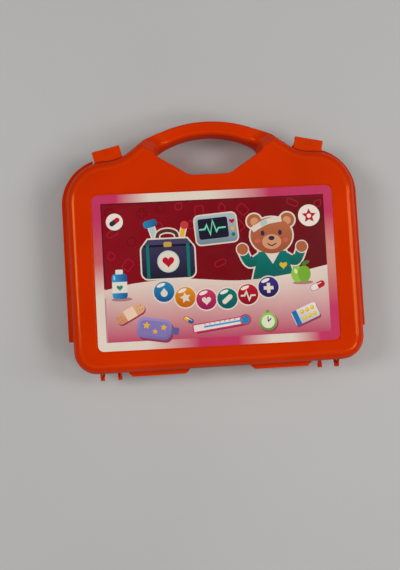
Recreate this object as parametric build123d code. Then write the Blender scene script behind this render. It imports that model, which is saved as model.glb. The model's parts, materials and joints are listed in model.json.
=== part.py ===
from build123d import *
from OCP.BRepFilletAPI import BRepFilletAPI_MakeFillet
import os
from math import asin, atan2, cos, degrees, radians, sin, sqrt, tan

os.makedirs("parts", exist_ok=True)

# Toy doctor case: two moulded half shells with a carrying handle, hinged along the
# bottom edge and held shut by two clips on the shoulders.
# Working frame: x across the case, y from the bottom edge up to the handle, z out of
# the label face, with z = 0 on the flat back. Millimetres throughout.

# ---- shells -----------------------------------------------------------------
HALF_DEPTH = 23.85           # depth of each half shell, broad face to seam
WALL = 1.8                   # moulded wall
DRAFT = 4.0                  # draft of every side wall, degrees
EDGE_ROUND = 9.0             # rounding between the broad faces and the side walls
HALF_WIDTH = 128.3           # half width at the seam, without the flanges
BOTTOM_CORNER = 21.3         # corner radii at the seam
TOP_CORNER = 36.9
SHOULDER_HEIGHT = 187.9      # bottom wall to the low point of the shoulder
SHOULDER_REACH = 10.65       # length of each side of the hollow between shoulder and flank
SHOULDER_BEND = 40.0         # radius between the flank and the handle's end
SEAM_GAP = 0.3               # daylight between the closed shells

# ---- carrying handle --------------------------------------------------------
HANDLE_RISE = 32.8           # crown of the handle above the shoulders
HANDLE_ARC = 112.8           # radius of the handle's outer edge
HANDLE_INSET = 45.52         # from the top corner's end inwards to the end of that arc
HANDLE_RUN = 10.19           # straight run past the arc before it bends to the flank
HANDLE_DROP = 13.5           # how far the handle's front lies below the label face
HANDLE_ROUND = 2.4           # rounding of its outer edge
GRIP_ROUND = 4.5             # rounding of its edge towards the hand hole
FACET_RUN = 13.0             # width of the slope from the label face down to the handle
FACET_CREST = 3.0            # radius that blends the slope into the label face
FACET_FOOT = 16.0            # radius that blends it into the handle
FACET_TURN = 29.0            # direction of the slope's crease, degrees below horizontal
FACET_INSET = 20.75          # where the crease meets the flank, from the flank's foot
FACET_RISE = 9.9

# ---- hand hole, at the seam -------------------------------------------------
HOLE_DROP = 16.5             # lower edge below the shoulders
HANDLE_GRIP = 13.2           # height of the grip at the crown, above the hole
HOLE_ARC = 85.8              # radius of its upper edge
HOLE_FLOOR = 17.0            # half width of its straight lower edge
HOLE_SLANT = 32.6            # slope of its lower flanks, degrees
HOLE_CORNER = 4.0            # radius of its two ends
HOLE_FLOOR_CORNER = 12.0     # radius where the flanks meet the lower edge
HOLE_RIM = 1.4               # rounding of the rim on the broad faces
LEAST_ROUND = 0.3            # smallest rounding inside the moulding

# ---- seam -------------------------------------------------------------------
LIP_REACH = 2.0              # small lip of the front shell beside the seam
LIP_HEIGHT = 1.6
FLANGE_REACH = 5.1           # wider flange of the back shell
FLANGE_HEIGHT = 2.2
FLANGE_FOOT = 29.6           # height above the bottom wall where both flanges end
FLANGE_INSET = 24.3          # from the side wall inwards to where they end on the shoulders
TONGUE = 0.75                # inner part of the back shell's edge that stands up as a tongue
TONGUE_HEIGHT = 2.0
TONGUE_CLEAR = 0.3

# ---- hinges and foot rails along the bottom ---------------------------------
HINGE_OUT = 4.0              # hinge axis outside the bottom wall
EAR_RADIUS = 2.3
EAR_THICK = 1.5
EAR_ROOT = 6.5               # how far an ear runs down or up its own wall
EAR_GAP = 0.3                # side play between a front ear and a back ear
EAR_INSET = 23.3             # from the side wall inwards to the outer pair of ears
EAR_SPACING = 15.3           # from the outer pair to the inner pair
STUB_RADIUS = 1.15           # hinge stubs moulded on the back shell's ears
STUB_PLAY = 0.06             # radial running clearance of every stub
RAIL_REACH = 3.7             # foot rails that the case stands on
RAIL_INSET = 47.0            # from the side wall inwards to the rail's outer end
RAIL_LENGTH = 53.9
RAIL_HEIGHT = 7.0
RAIL_CHAMFER = 3.4
RAIL_WALL = 1.2

# ---- label ------------------------------------------------------------------
LABEL_WIDTH = 210.0
LABEL_HEIGHT = 135.4
LABEL_CORNER = 5.0
LABEL_THICK = 0.25
LABEL_FOOT = 19.6            # its lower edge above the bottom wall
LABEL_TURN = -0.45           # it was laid in very slightly askew, degrees
RECESS_DEPTH = 0.5
RECESS_MARGIN = 1.2

# ---- clips ------------------------------------------------------------------
CLIP_INSET = 40.0            # from the side wall inwards to the clip's middle
CLIP_TILT = 12.6             # they lean outwards with the shoulders, degrees
CLIP_WIDTH = 25.2
CLIP_THICK = 1.8
CLIP_STAND = 2.4             # clip plate outside the seam outline
CLIP_TOP = 40.0              # height of the finger lip's upper face above the back
CLIP_LIP = 8.4               # plate and lip together, seen from the front
CLIP_HEM = 4.0               # turned-down edge of the lip
CLIP_HEAD_GAP = 0.4          # between the clip's head and the front shell's wall
PIVOT_DROP = 9.0             # clip axis below the seam
PIVOT_BARREL = 1.9
CLIP_STUB = 1.2
CLIP_EAR = 2.0               # thickness of the back shell's clip ears
CLIP_EAR_RADIUS = 2.4
CLIP_EAR_GAP = 0.5
CATCH_WIDTH = 11.0           # catch on the front shell that stands in the clip's window
CATCH_HEIGHT = 4.0
CATCH_RISE = 4.0             # catch above the seam
CATCH_CLEAR = 0.4
GRIP_COUNT = 3
GRIP_PITCH = 2.1
GRIP_WIDTH = 0.8
GRIP_LENGTH = 4.2
GRIP_HEIGHT = 0.3

# ---- toys -------------------------------------------------------------------
# They lie on the floor of the back shell. The left-hand ones keep their distance to the
# left wall, the right-hand ones to the right wall, the middle ones to the case's middle:
# IN is the distance inwards from the wall, UP the distance from the bottom wall.
LEFT = -HALF_WIDTH
RIGHT = HALF_WIDTH

YOKE_IN = 48.3               # stethoscope: centre of the bend between its two ear tubes
YOKE_UP = 99.0
YOKE_RADIUS = 29.5
YOKE_LEG = 45.0
YOKE_BLOCK_WIDTH = 13.0
YOKE_BLOCK_LENGTH = 8.0
YOKE_BLOCK_HEIGHT = 6.6
TUBE_RADIUS = 2.8
EAR_TIP_RADIUS = 4.4
TUBE_DROP = 20.0             # from the bend's foot down to the lowest run
TUBE_RUN = 20.0
TUBE_STEP_OUT = 8.0
TUBE_STEP_UP = 10.0
TUBE_LEAD = 12.0             # last straight run, into the chest piece
TUBE_BEND = 8.0
CHEST_RADIUS = 14.0
CHEST_RIM = 3.2
CHEST_DOME_RADIUS = 7.5
CHEST_HEIGHT = 8.5
CHEST_SOCKET = 5.0

SYRINGE_IN = 16.3            # nozzle's tip
SYRINGE_UP = 26.0
SYRINGE_LENGTH = 58.0
SYRINGE_RADIUS = 9.0
SYRINGE_WALL = 1.4
NOZZLE_LENGTH = 8.0
NOZZLE_RADIUS = 2.4
NOZZLE_BORE = 1.0
GRIP_PLATE_WIDTH = 26.0
GRIP_PLATE_THICK = 2.0
PLUNGER_PLAY = 0.3
PLUNGER_DEPTH = 19.0         # seal's distance from the barrel's closed end
PLUNGER_SEAL = 3.5
PLUNGER_LENGTH = 60.0
PLUNGER_RIB = 1.6
THUMB_RADIUS = 8.0
THUMB_THICK = 2.5

GLASSES_IN = 68.3            # middle of the bridge
GLASSES_UP = 31.0
LENS_RADIUS = 15.5
RIM_WIDTH = 3.5
LENS_SPACING = 48.0
GLASSES_THICK = 3.2
BRIDGE_HEIGHT = 5.0
ARM_RISE = 8.0               # arms above the lenses' middles
ARM_WIDTH = 4.0
ARM_THICK = 2.4
ARM_LENGTH = 84.0
ARM_GAP = 0.3
LUG_WIDTH = 5.0

BOTTLE_IN = 28.3             # medicine bottle's foot
BOTTLE_UP = 92.5
BOTTLE_RADIUS = 9.5
BOTTLE_LENGTH = 33.0
BOTTLE_NECK_RADIUS = 5.5
BOTTLE_NECK_LENGTH = 7.0
BOTTLE_CAP_RADIUS = 7.5
BOTTLE_WALL = 1.3
BOTTLE_ROUND = 1.0
CAP_PLAY = 0.1

TRAY_IN = 52.3               # centre of the bean's bend
TRAY_UP = 46.6
TRAY_BEND = 36.0
TRAY_TURN = 38.0             # half angle of the bend, degrees
TRAY_WIDTH = 34.0
TRAY_HEIGHT = 13.0
TRAY_WALL = 1.6
PILL_ACROSS = -17.0          # pill bottle's foot from the centre of the bean's bend
PILL_UP = 38.0
PILL_RADIUS = 8.0
PILL_LENGTH = 24.0
PILL_NECK_RADIUS = 6.0
PILL_NECK_LENGTH = 6.0
PILL_CAP_RADIUS = 8.0

TEST_TUBE_X = -50.0          # its round foot
TEST_TUBE_UP = 164.2
TEST_TUBE_RADIUS = 5.0
TEST_TUBE_LENGTH = 24.0
STOPPER_RADIUS = 5.6
STOPPER_LENGTH = 4.0
STOPPER_PLUG = 4.0

BOWL_IN = 67.3
BOWL_UP = 130.0
BOWL_RADIUS = 21.0
BOWL_FOOT = 11.0
BOWL_HEIGHT = 15.0
BOWL_WALL = 1.6
BOWL_RIM = 1.2

BOARD_X = -3.0               # clipboard's middle
BOARD_UP = 118.0
BOARD_WIDTH = 54.0
BOARD_LENGTH = 78.0
BOARD_THICK = 2.4
BOARD_CORNER = 4.0
BOARD_CLIP_WIDTH = 26.0
BOARD_CLIP_LENGTH = 10.0
BOARD_CLIP_HEIGHT = 5.0
BOARD_CLIP_ROUND = 2.0

THERMOMETER_X = -18.0        # from the clipboard's middle
THERMOMETER_Y = 2.0
THERMOMETER_LENGTH = 60.0
THERMOMETER_WIDTH = 8.0
THERMOMETER_THICK = 3.6
THERMOMETER_TIP = 3.0
THERMOMETER_TIP_LENGTH = 12.0

TWEEZERS_Y = -36.0
TWEEZERS_LENGTH = 62.0
TWEEZERS_OPEN = 9.0
TWEEZERS_ARM = 1.8
TWEEZERS_HEIGHT = 5.0

MIRROR_X = 17.0              # from the clipboard's middle
MIRROR_Y = -36.0
MIRROR_ROD_RADIUS = 2.4
MIRROR_ROD_LENGTH = 50.0
MIRROR_RADIUS = 8.0
MIRROR_RIM = 1.0
MIRROR_THICK = 2.8
MIRROR_GLASS_THICK = 1.0

HAMMER_IN = 26.3             # middle of the head
HAMMER_UP = 113.0
HAMMER_HEAD_RADIUS = 6.2
HAMMER_HEAD_LENGTH = 28.0
HAMMER_HEAD_ROUND = 2.0
HAMMER_ROD_RADIUS = 3.2
HAMMER_GRIP_RADIUS = 6.2
HAMMER_GRIP_START = 22.0
HAMMER_GRIP_END = 50.0

SCISSORS_IN = 45.3           # pivot
SCISSORS_UP = 138.0
BLADE_LENGTH = 28.0
BLADE_WIDTH = 8.0
BLADE_TIP = 2.0
BLADE_THICK = 2.6
BLADE_GAP = 0.3
RING_OUT = 9.6               # ring's middle from the pivot
RING_DOWN = 19.0
RING_RADIUS = 9.0
RING_BAND = 2.8
SHANK_WIDTH = 5.0
PIVOT_PIN_RADIUS = 1.8
PIVOT_PIN_PLAY = 0.08
PIVOT_PIN_HEAD = 0.8

HANDLE_TOP = SHOULDER_HEIGHT + HANDLE_RISE   # crown above the bottom wall
HOLE_BOTTOM = SHOULDER_HEIGHT - HOLE_DROP
HOLE_TOP = HANDLE_TOP - HANDLE_GRIP
CORNER_X = HALF_WIDTH - TOP_CORNER           # where the top corner's rounding ends
FLANK_FOOT = CORNER_X - SHOULDER_REACH       # where the flank would meet the shoulder's level
LABEL_RISE = LABEL_FOOT + LABEL_HEIGHT / 2   # label's middle above the bottom wall
CLIP_X = HALF_WIDTH - CLIP_INSET
RAIL_END = HALF_WIDTH - RAIL_INSET
RAIL_START = RAIL_END - RAIL_LENGTH
EAR_OUTER = HALF_WIDTH - EAR_INSET
EAR_INNER = EAR_OUTER - EAR_SPACING
DEPTH = 2 * HALF_DEPTH + SEAM_GAP
FRONT_SEAM = HALF_DEPTH + SEAM_GAP           # height of the front shell's edge above the back
MID_SEAM = SEAM_GAP / 2                      # hinge axis above the back shell's edge
HANDLE_LEVEL = HALF_DEPTH - HANDLE_DROP      # handle front above the seam
HINGE_EXTENT = HINGE_OUT + EAR_RADIUS        # how far the hinges reach below the bottom wall
MIDDLE_Y = (HANDLE_TOP - HINGE_EXTENT) / 2   # brings the origin under the middle of the case
FAR = 400.0                                  # larger than anything that is cut or kept
SIDES = (-1, 1)


def write(name, shape):
    """Exports one piece, moved so that the origin lies under the middle of the case."""
    export_step(Pos(0, -MIDDLE_Y, 0) * shape, f"parts/{name}.step")


def span_box(low, high):
    """A box between two corners."""
    size = [h - l for l, h in zip(low, high)]
    return Pos(*low) * Box(*size, align=(Align.MIN, Align.MIN, Align.MIN))


def on_both_sides(shape):
    """A shape together with its mirror image across the case's middle."""
    return shape + mirror(shape, about=Plane.YZ)


def arc_between(centre, radius, start, end):
    """An arc about a centre, from one angle to another in degrees."""
    points = []
    for angle in (start, (start + end) / 2, end):
        turn = radians(angle)
        points.append((centre[0] + radius * cos(turn), centre[1] + radius * sin(turn)))
    return ThreePointArc(*points)


# ---- outlines at the seam ---------------------------------------------------
def half_outline(side):
    """Edge of one side of the case, from the bottom middle round to the handle's crown."""
    low = arc_between((HALF_WIDTH - BOTTOM_CORNER, BOTTOM_CORNER), BOTTOM_CORNER, -90, 0)
    top = arc_between((CORNER_X, SHOULDER_HEIGHT - TOP_CORNER), TOP_CORNER, 0, 90)
    crown_end = degrees(asin((CORNER_X - HANDLE_INSET) / HANDLE_ARC))
    crown = arc_between((0, HANDLE_TOP - HANDLE_ARC), HANDLE_ARC, 90 - crown_end, 90)
    handle_end = crown @ 0
    fall = radians(crown_end)
    bend = handle_end + Vector(cos(fall), -sin(fall)) * HANDLE_RUN
    flank_foot = Vector(FLANK_FOOT, SHOULDER_HEIGHT)
    across = bend - flank_foot
    slope = atan2(across.Y, -across.X)
    dip = SHOULDER_REACH / tan(slope / 2)
    hollow = arc_between((CORNER_X, SHOULDER_HEIGHT + dip), dip, -90, -90 - degrees(slope))
    flank = FilletPolyline(hollow @ 1, bend, handle_end, radius=SHOULDER_BEND)
    base = Line((0, 0), low @ 0)
    wall = Line(low @ 1, top @ 0)
    edges = Curve() + [base, low, wall, top, hollow, flank, crown]
    return edges if side > 0 else mirror(edges, about=Plane.YZ)


def case_face(inset=0.0):
    """The whole outline of a shell at the seam, without the hand hole."""
    face = make_face(half_outline(1).edges() + half_outline(-1).edges())
    return offset(face, amount=-inset) if inset else face


def hole_face(outset=0.0):
    """The hand hole at the seam, grown by a wall where the inside is cut."""
    centre_y = HOLE_TOP - HOLE_ARC
    slope = tan(radians(HOLE_SLANT))
    rise = HOLE_BOTTOM - slope * HOLE_FLOOR - centre_y
    a, b, c = 1 + slope ** 2, 2 * slope * rise, rise ** 2 - HOLE_ARC ** 2
    end_x = (-b + sqrt(b * b - 4 * a * c)) / (2 * a)
    end_y = centre_y + sqrt(HOLE_ARC ** 2 - end_x ** 2)
    right, left = (end_x, end_y), (-end_x, end_y)
    floor_right, floor_left = (HOLE_FLOOR, HOLE_BOTTOM), (-HOLE_FLOOR, HOLE_BOTTOM)
    rim = Polyline(left, floor_left, floor_right, right)
    arch = ThreePointArc(right, (0, HOLE_TOP), left)
    face = make_face(rim.edges() + arch.edges())
    face = fillet(face.vertices().sort_by(Axis.Y)[:2], HOLE_FLOOR_CORNER)
    face = fillet(face.vertices().sort_by(Axis.Y)[-2:], HOLE_CORNER)
    return offset(face, amount=outset) if outset else face


# ---- shell bodies -----------------------------------------------------------
def relief_profile(inset):
    """Section of the relief: from the face through a blended slope to the handle's front."""
    slope = atan2(HANDLE_DROP, FACET_RUN)
    down = Vector(cos(slope), -sin(slope))
    crest_reach, foot_reach = FACET_CREST * tan(slope / 2), FACET_FOOT * tan(slope / 2)
    crest = Vector(-inset, HALF_DEPTH - inset)
    foot = crest + Vector(FACET_RUN, -HANDLE_DROP)
    start, end = crest - Vector(crest_reach, 0), foot + Vector(foot_reach, 0)
    upper = TangentArc(start, crest + down * crest_reach, tangent=(1, 0))
    run = Line(upper @ 1, foot - down * foot_reach)
    lower = TangentArc(end, run @ 1, tangent=(-1, 0))
    rest = Polyline(end, (end.X, -FAR), (FAR, -FAR), (FAR, FAR), (start.X, FAR), start)
    return make_face(upper.edges() + run.edges() + lower.edges() + rest.edges())


def handle_relief(inset):
    """What is taken off one broad face, along blended slopes, to make room for the handle."""
    profile = relief_profile(inset)
    facet_x = FLANK_FOOT - FACET_INSET
    cut = None
    for side in SIDES:
        turn = radians(FACET_TURN)
        along = Vector(-side * cos(turn), -sin(turn), 0)
        beyond = Vector(-side * sin(turn), cos(turn), 0)
        origin = Vector(side * facet_x, SHOULDER_HEIGHT + FACET_RISE, 0) + along * FAR
        plane = Plane(origin=origin, x_dir=beyond, z_dir=beyond.cross(Vector(0, 0, 1)))
        prism = extrude(plane * profile, amount=2 * FAR, both=True)
        cut = prism if cut is None else cut & prism
    above_floor = HOLE_BOTTOM + (HOLE_TOP - HOLE_BOTTOM) / 4
    return cut & span_box((-FAR, above_floor - inset, -1), (FAR, FAR, FAR))


def edges_on_level(shape, level):
    """Edges that lie in one plane above the seam."""
    boxes = [(edge, edge.bounding_box()) for edge in shape.edges()]
    return [e for e, box in boxes if max(abs(box.min.Z - level), abs(box.max.Z - level)) < 1e-3]


def plain_form(inset, height, edge_round):
    """A drafted, rounded block of the whole outline with the hand hole through it."""
    form = extrude(case_face(inset), amount=height, taper=DRAFT)
    form = fillet(edges_on_level(form, height), edge_round)
    return form - extrude(hole_face(inset), amount=height, taper=-DRAFT)


def rounded_rim(form, inset):
    """Rounds the hand hole's rim: a little on the broad face, more and more towards the grip."""
    low_level, high_level = HANDLE_LEVEL - inset, HALF_DEPTH - inset
    rim_round, grip_round = HOLE_RIM - inset, GRIP_ROUND - inset
    arch_reach = hole_face(inset + GRIP_ROUND).bounding_box().max.Y
    arches = [e for e in edges_on_level(form, low_level) if e.center().Y < arch_reach]
    arch = max(arches, key=lambda e: e.length).wrapped
    rounding = BRepFilletAPI_MakeFillet(form.wrapped)
    rounding.Add(arch)
    for number in range(1, rounding.NbEdges(1) + 1):
        for corner in Edge(rounding.Edge(1, number)).vertices():
            share = (high_level - corner.Z) / HANDLE_DROP
            radius = rim_round + (grip_round - rim_round) * share
            rounding.SetRadius(max(radius, LEAST_ROUND), 1, corner.wrapped)
    return Part(rounding.Shape())


def shell_form(inset):
    """Solid form of a half shell above the seam; the inside is the same form, inset."""
    handle_round = HANDLE_ROUND / 2 if inset else HANDLE_ROUND
    low = plain_form(inset, HANDLE_LEVEL - inset, handle_round)
    high = plain_form(inset, HALF_DEPTH - inset, EDGE_ROUND - inset)
    return rounded_rim(high - handle_relief(inset) + low, inset)


def seam_ring(reach, height):
    """A flange beside the seam that runs over the top corners and down both sides."""
    plate = extrude(case_face(-reach), amount=height)
    piece = plate & span_box((HALF_WIDTH - FLANGE_INSET, FLANGE_FOOT, 0), (FAR, FAR, height))
    ends = [e for e in piece.edges().filter_by(Axis.Z) if e.center().X > HALF_WIDTH]
    return on_both_sides(fillet(ends, LIP_HEIGHT / 2))


def foot_rails():
    """Two chamfered rails below the bottom wall, cored out from the seam."""
    low, shoulder = -RAIL_REACH, RAIL_CHAMFER - RAIL_REACH
    face = make_face(Polyline(
        (RAIL_START, WALL / 2), (RAIL_START, shoulder), (RAIL_START + RAIL_CHAMFER, low),
        (RAIL_END - RAIL_CHAMFER, low), (RAIL_END, shoulder), (RAIL_END, WALL / 2), close=True,
    ))
    below_wall = Rectangle(FAR, FAR, align=(Align.MIN, Align.MAX))
    core = offset(face, amount=-RAIL_WALL) & below_wall
    rail = extrude(face, amount=RAIL_HEIGHT)
    rail = fillet(rail.edges().filter_by(Axis.X).sort_by(Axis.Y)[:2], RAIL_WALL / 2)
    return on_both_sides(rail - extrude(core, amount=RAIL_HEIGHT - RAIL_WALL))


def hinge_ear(start, bore=0.0):
    """One hinge ear that grows out of the bottom wall, its axis in the middle of the seam."""
    eye = Circle(EAR_RADIUS)
    root = Polyline((HINGE_OUT + WALL / 2, EAR_ROOT), (HINGE_OUT + WALL / 2, EAR_ROOT / 4))
    face = make_hull(eye.edges() + root.edges())
    if bore:
        face -= Circle(bore)
    return Pos(start, -HINGE_OUT, -MID_SEAM) * extrude(Plane.YZ * face, amount=EAR_THICK)


def ear_starts(front):
    """Left edges of the right-hand hinge's two ears: the back shell's ears lie inside."""
    step = EAR_GAP / 2 + EAR_THICK
    if front:
        return EAR_INNER - step, EAR_OUTER + EAR_GAP / 2
    return EAR_INNER + EAR_GAP / 2, EAR_OUTER - step


def hinge_ears(front):
    """All ears of one shell, the back shell's with the stubs that the front ears turn on."""
    bore = STUB_RADIUS + STUB_PLAY if front else 0.0
    ears = None
    for start in ear_starts(front):
        ear = hinge_ear(start, bore)
        ears = ear if ears is None else ears + ear
    if not front:
        reach = 2 * EAR_THICK + 2 * EAR_GAP
        inner, outer = ear_starts(front)
        stub = extrude(Plane.YZ * Circle(STUB_RADIUS), amount=reach)
        ears += Pos(inner + EAR_THICK - reach, -HINGE_OUT, -MID_SEAM) * stub
        ears += Pos(outer, -HINGE_OUT, -MID_SEAM) * stub
    return on_both_sides(ears)


# ---- clips and what holds them ----------------------------------------------
CLIP_FRAME = Pos(CLIP_X, SHOULDER_HEIGHT, 0) * Rot(0, 0, -CLIP_TILT)
CLIP_AXIS_Y = CLIP_STAND + CLIP_THICK / 2


def along_clip(face, length):
    """Stretches a section, drawn outwards and upwards, evenly to both sides of the clip."""
    return extrude(Plane.YZ * face, amount=length / 2, both=True)


def rounded_at(face, spot, radius):
    """Rounds the one corner of a section that lies at a spot."""
    return fillet(face.vertices().sort_by_distance(spot)[0], radius)


def clip_section():
    """Section through a clip: upright plate, then a finger lip with its edge turned down."""
    top = CLIP_TOP - HALF_DEPTH
    inner, outer = CLIP_STAND, CLIP_STAND + CLIP_THICK
    tip = CLIP_STAND + CLIP_LIP
    under, hem, hem_inner = top - CLIP_THICK, top - CLIP_HEM, tip - CLIP_THICK
    section = make_face(Polyline(
        (inner, -PIVOT_DROP), (inner, top), (tip, top), (tip, hem), (hem_inner, hem),
        (hem_inner, under), (outer, under), (outer, -PIVOT_DROP), close=True,
    ))
    section = rounded_at(section, (outer, under, 0), CLIP_THICK)
    return rounded_at(section, (tip, top, 0), CLIP_THICK / 2)


def grip_marks():
    """Three small raised bars on the finger lip."""
    top = CLIP_TOP - HALF_DEPTH
    middle = CLIP_STAND + CLIP_LIP / 2
    marks = None
    for index in range(GRIP_COUNT):
        across = (index - (GRIP_COUNT - 1) / 2) * GRIP_PITCH
        bar = Box(GRIP_WIDTH, GRIP_LENGTH, 2 * GRIP_HEIGHT)
        bar = fillet(bar.edges().filter_by(Axis.Z), GRIP_WIDTH / 3)
        bar = Pos(across, middle, top) * bar
        marks = bar if marks is None else marks + bar
    return marks


def clip_head():
    """Upper part of a clip that reaches inwards and follows the front shell's wall."""
    top = CLIP_TOP - HALF_DEPTH
    half = CLIP_WIDTH / 2
    plate = span_box((-half, -EDGE_ROUND, top - CLIP_THICK), (half, CLIP_STAND + CLIP_THICK / 2, top))
    wall = extrude(case_face(-CLIP_HEAD_GAP), amount=HALF_DEPTH, taper=DRAFT)
    return CLIP_FRAME * plate - wall


def clip():
    """The right-hand clip with its barrel, stubs, window, head and grip marks."""
    low = SEAM_GAP + CATCH_RISE - CATCH_CLEAR
    high = SEAM_GAP + CATCH_RISE + CATCH_HEIGHT + CATCH_CLEAR
    stub_length = CLIP_WIDTH + 2 * (CLIP_EAR_GAP + CLIP_EAR)
    body = along_clip(clip_section(), CLIP_WIDTH)
    body = fillet(body.edges().filter_by(Axis.Z).group_by(Axis.Y)[-1], CLIP_THICK / 3)
    axis = Pos(CLIP_AXIS_Y, -PIVOT_DROP)
    body += along_clip(axis * Circle(PIVOT_BARREL), CLIP_WIDTH)
    body += along_clip(axis * Circle(CLIP_STUB), stub_length)
    half_window = CATCH_WIDTH / 2 + CATCH_CLEAR
    body -= span_box((-half_window, 0, low), (half_window, CLIP_STAND + CLIP_LIP / 2, high))
    return CLIP_FRAME * (body + grip_marks()) + clip_head()


def clip_ears():
    """Bored ears of the back shell that hold a clip's stubs, above the seam before mirroring."""
    eye = Pos(CLIP_AXIS_Y, PIVOT_DROP) * Circle(CLIP_EAR_RADIUS)
    root = Polyline((-WALL, PIVOT_DROP - 2 * CLIP_EAR_RADIUS), (-WALL, PIVOT_DROP + 2 * CLIP_EAR_RADIUS))
    face = make_hull(eye.edges() + root.edges())
    face -= Pos(CLIP_AXIS_Y, PIVOT_DROP) * Circle(CLIP_STUB + STUB_PLAY)
    ear = Pos(CLIP_WIDTH / 2 + CLIP_EAR_GAP) * extrude(Plane.YZ * face, amount=CLIP_EAR)
    return on_both_sides(CLIP_FRAME * on_both_sides(ear))


def catches():
    """Catches of the front shell that the clips' windows close over."""
    reach = CLIP_STAND + CLIP_THICK - CATCH_CLEAR
    half = CATCH_WIDTH / 2
    block = span_box((-half, -WALL / 2, CATCH_RISE), (half, reach, CATCH_RISE + CATCH_HEIGHT))
    lower_edge = block.edges().filter_by(Axis.X).group_by(Axis.Z)[0].sort_by(Axis.Y)[-1]
    return on_both_sides(CLIP_FRAME * chamfer(lower_edge, CATCH_HEIGHT / 4))


# ---- the case's pieces ------------------------------------------------------
def seam_ring_between(outer, inner, height):
    """A closed ring that follows the whole seam, handle and hand hole included."""
    ring = extrude(case_face(outer), amount=height) - extrude(case_face(inner), amount=height)
    return ring + extrude(hole_face(inner), amount=height) - extrude(hole_face(outer), amount=height)


def label_outline(margin):
    """The label's outline, or with a margin the recess it lies in."""
    face = RectangleRounded(LABEL_WIDTH + 2 * margin, LABEL_HEIGHT + 2 * margin, LABEL_CORNER + margin)
    return Pos(0, LABEL_RISE) * Rot(0, 0, LABEL_TURN) * face


def front_shell():
    """Lid half: label recess, seam lip, catches, hinge ears, foot rails, rebated edge."""
    form = shell_form(0) + seam_ring(LIP_REACH, LIP_HEIGHT)
    form += foot_rails() + hinge_ears(True) + catches()
    form -= shell_form(WALL)
    skin = WALL - TONGUE - TONGUE_CLEAR
    form -= seam_ring_between(skin, WALL + TONGUE, TONGUE_HEIGHT + TONGUE_CLEAR - SEAM_GAP)
    recess = extrude(label_outline(RECESS_MARGIN), amount=RECESS_DEPTH)
    form -= Pos(0, 0, HALF_DEPTH - RECESS_DEPTH) * recess
    return Pos(0, 0, FRONT_SEAM) * form


def back_shell():
    """Base half: wide seam flange, hinge ears with stubs, clip ears, foot rails, tongue."""
    form = shell_form(0) + seam_ring(FLANGE_REACH, FLANGE_HEIGHT)
    form += foot_rails() + hinge_ears(False) + clip_ears()
    form = mirror(form - shell_form(WALL), about=Plane.XY)
    form += seam_ring_between(WALL - TONGUE, WALL, TONGUE_HEIGHT)
    return Pos(0, 0, HALF_DEPTH) * form


def front_label():
    """The printed sheet in the front shell's recess."""
    sheet = extrude(label_outline(0), amount=LABEL_THICK)
    return Pos(0, 0, DEPTH - RECESS_DEPTH) * sheet


def case_pieces():
    """Every piece of the closed case, by name."""
    right_clip = Pos(0, 0, HALF_DEPTH) * clip()
    return {
        "back_shell": back_shell(),
        "front_shell": front_shell(),
        "front_label": front_label(),
        "right_clip": right_clip,
        "left_clip": mirror(right_clip, about=Plane.YZ),
    }


# ---- toys -------------------------------------------------------------------
def turned(face):
    """A solid of revolution about x from its half section, drawn with the radius along y."""
    return revolve(face, axis=Axis.X)


def turned_upright(face):
    """A solid of revolution about z from its half section, drawn with the radius along x."""
    return revolve(Plane.XZ * face, axis=Axis.Z)


def outlined(*points):
    """A flat face with straight edges through the given points."""
    return make_face(Polyline(*points, close=True))


def laid(x, y, height=0.0):
    """The place of a toy above the back shell's floor."""
    return Pos(x, y, WALL + height)


def tube_along(path, radius):
    """A round tube, solid, along a smooth path."""
    return sweep(Plane(origin=path @ 0, z_dir=path % 0) * Circle(radius), path=path)


def stethoscope():
    """Moulded yoke with ear tips and a tube, and the chest piece at the tube's end."""
    left = Line((-YOKE_RADIUS, YOKE_LEG), (-YOKE_RADIUS, 0))
    bend = arc_between((0, 0), YOKE_RADIUS, 180, 360)
    right = Line((YOKE_RADIUS, 0), (YOKE_RADIUS, YOKE_LEG))
    low = -YOKE_RADIUS - TUBE_DROP
    step_x, step_y = TUBE_RUN + TUBE_STEP_OUT, low + TUBE_STEP_UP
    end = step_x + TUBE_LEAD
    axis_height = YOKE_BLOCK_HEIGHT / 2
    route = FilletPolyline(
        (0, -YOKE_RADIUS), (0, low), (TUBE_RUN, low), (step_x, step_y), (end, step_y),
        radius=TUBE_BEND,
    )
    headset = tube_along(Wire([left, bend, right]), TUBE_RADIUS)
    headset += tube_along(Wire(route.edges()), TUBE_RADIUS)
    block = Box(YOKE_BLOCK_WIDTH, YOKE_BLOCK_LENGTH, YOKE_BLOCK_HEIGHT)
    headset += Pos(0, -YOKE_RADIUS) * fillet(block.edges().filter_by(Axis.Z), TUBE_RADIUS)
    for side in SIDES:
        tip = Sphere(EAR_TIP_RADIUS)
        headset += Pos(side * YOKE_RADIUS, YOKE_LEG, EAR_TIP_RADIUS - axis_height) * tip
    chest = turned_upright(outlined(
        (0, 0), (CHEST_RADIUS, 0), (CHEST_RADIUS, CHEST_RIM), (CHEST_DOME_RADIUS, 2 * CHEST_RIM),
        (CHEST_DOME_RADIUS, CHEST_HEIGHT), (0, CHEST_HEIGHT),
    ))
    chest = fillet(edges_on_level(chest, CHEST_HEIGHT), CHEST_RIM / 2)
    socket = extrude(Plane.YZ * Circle(TUBE_RADIUS), amount=CHEST_RADIUS + CHEST_SOCKET)
    chest += Pos(-CHEST_RADIUS - CHEST_SOCKET, 0, axis_height) * socket
    place = laid(LEFT + YOKE_IN, YOKE_UP, axis_height)
    chest_x = end + CHEST_SOCKET + CHEST_RADIUS
    return {
        "stethoscope_headset": place * headset,
        "stethoscope_chestpiece": place * Pos(chest_x, step_y, -axis_height) * chest,
    }


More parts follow.
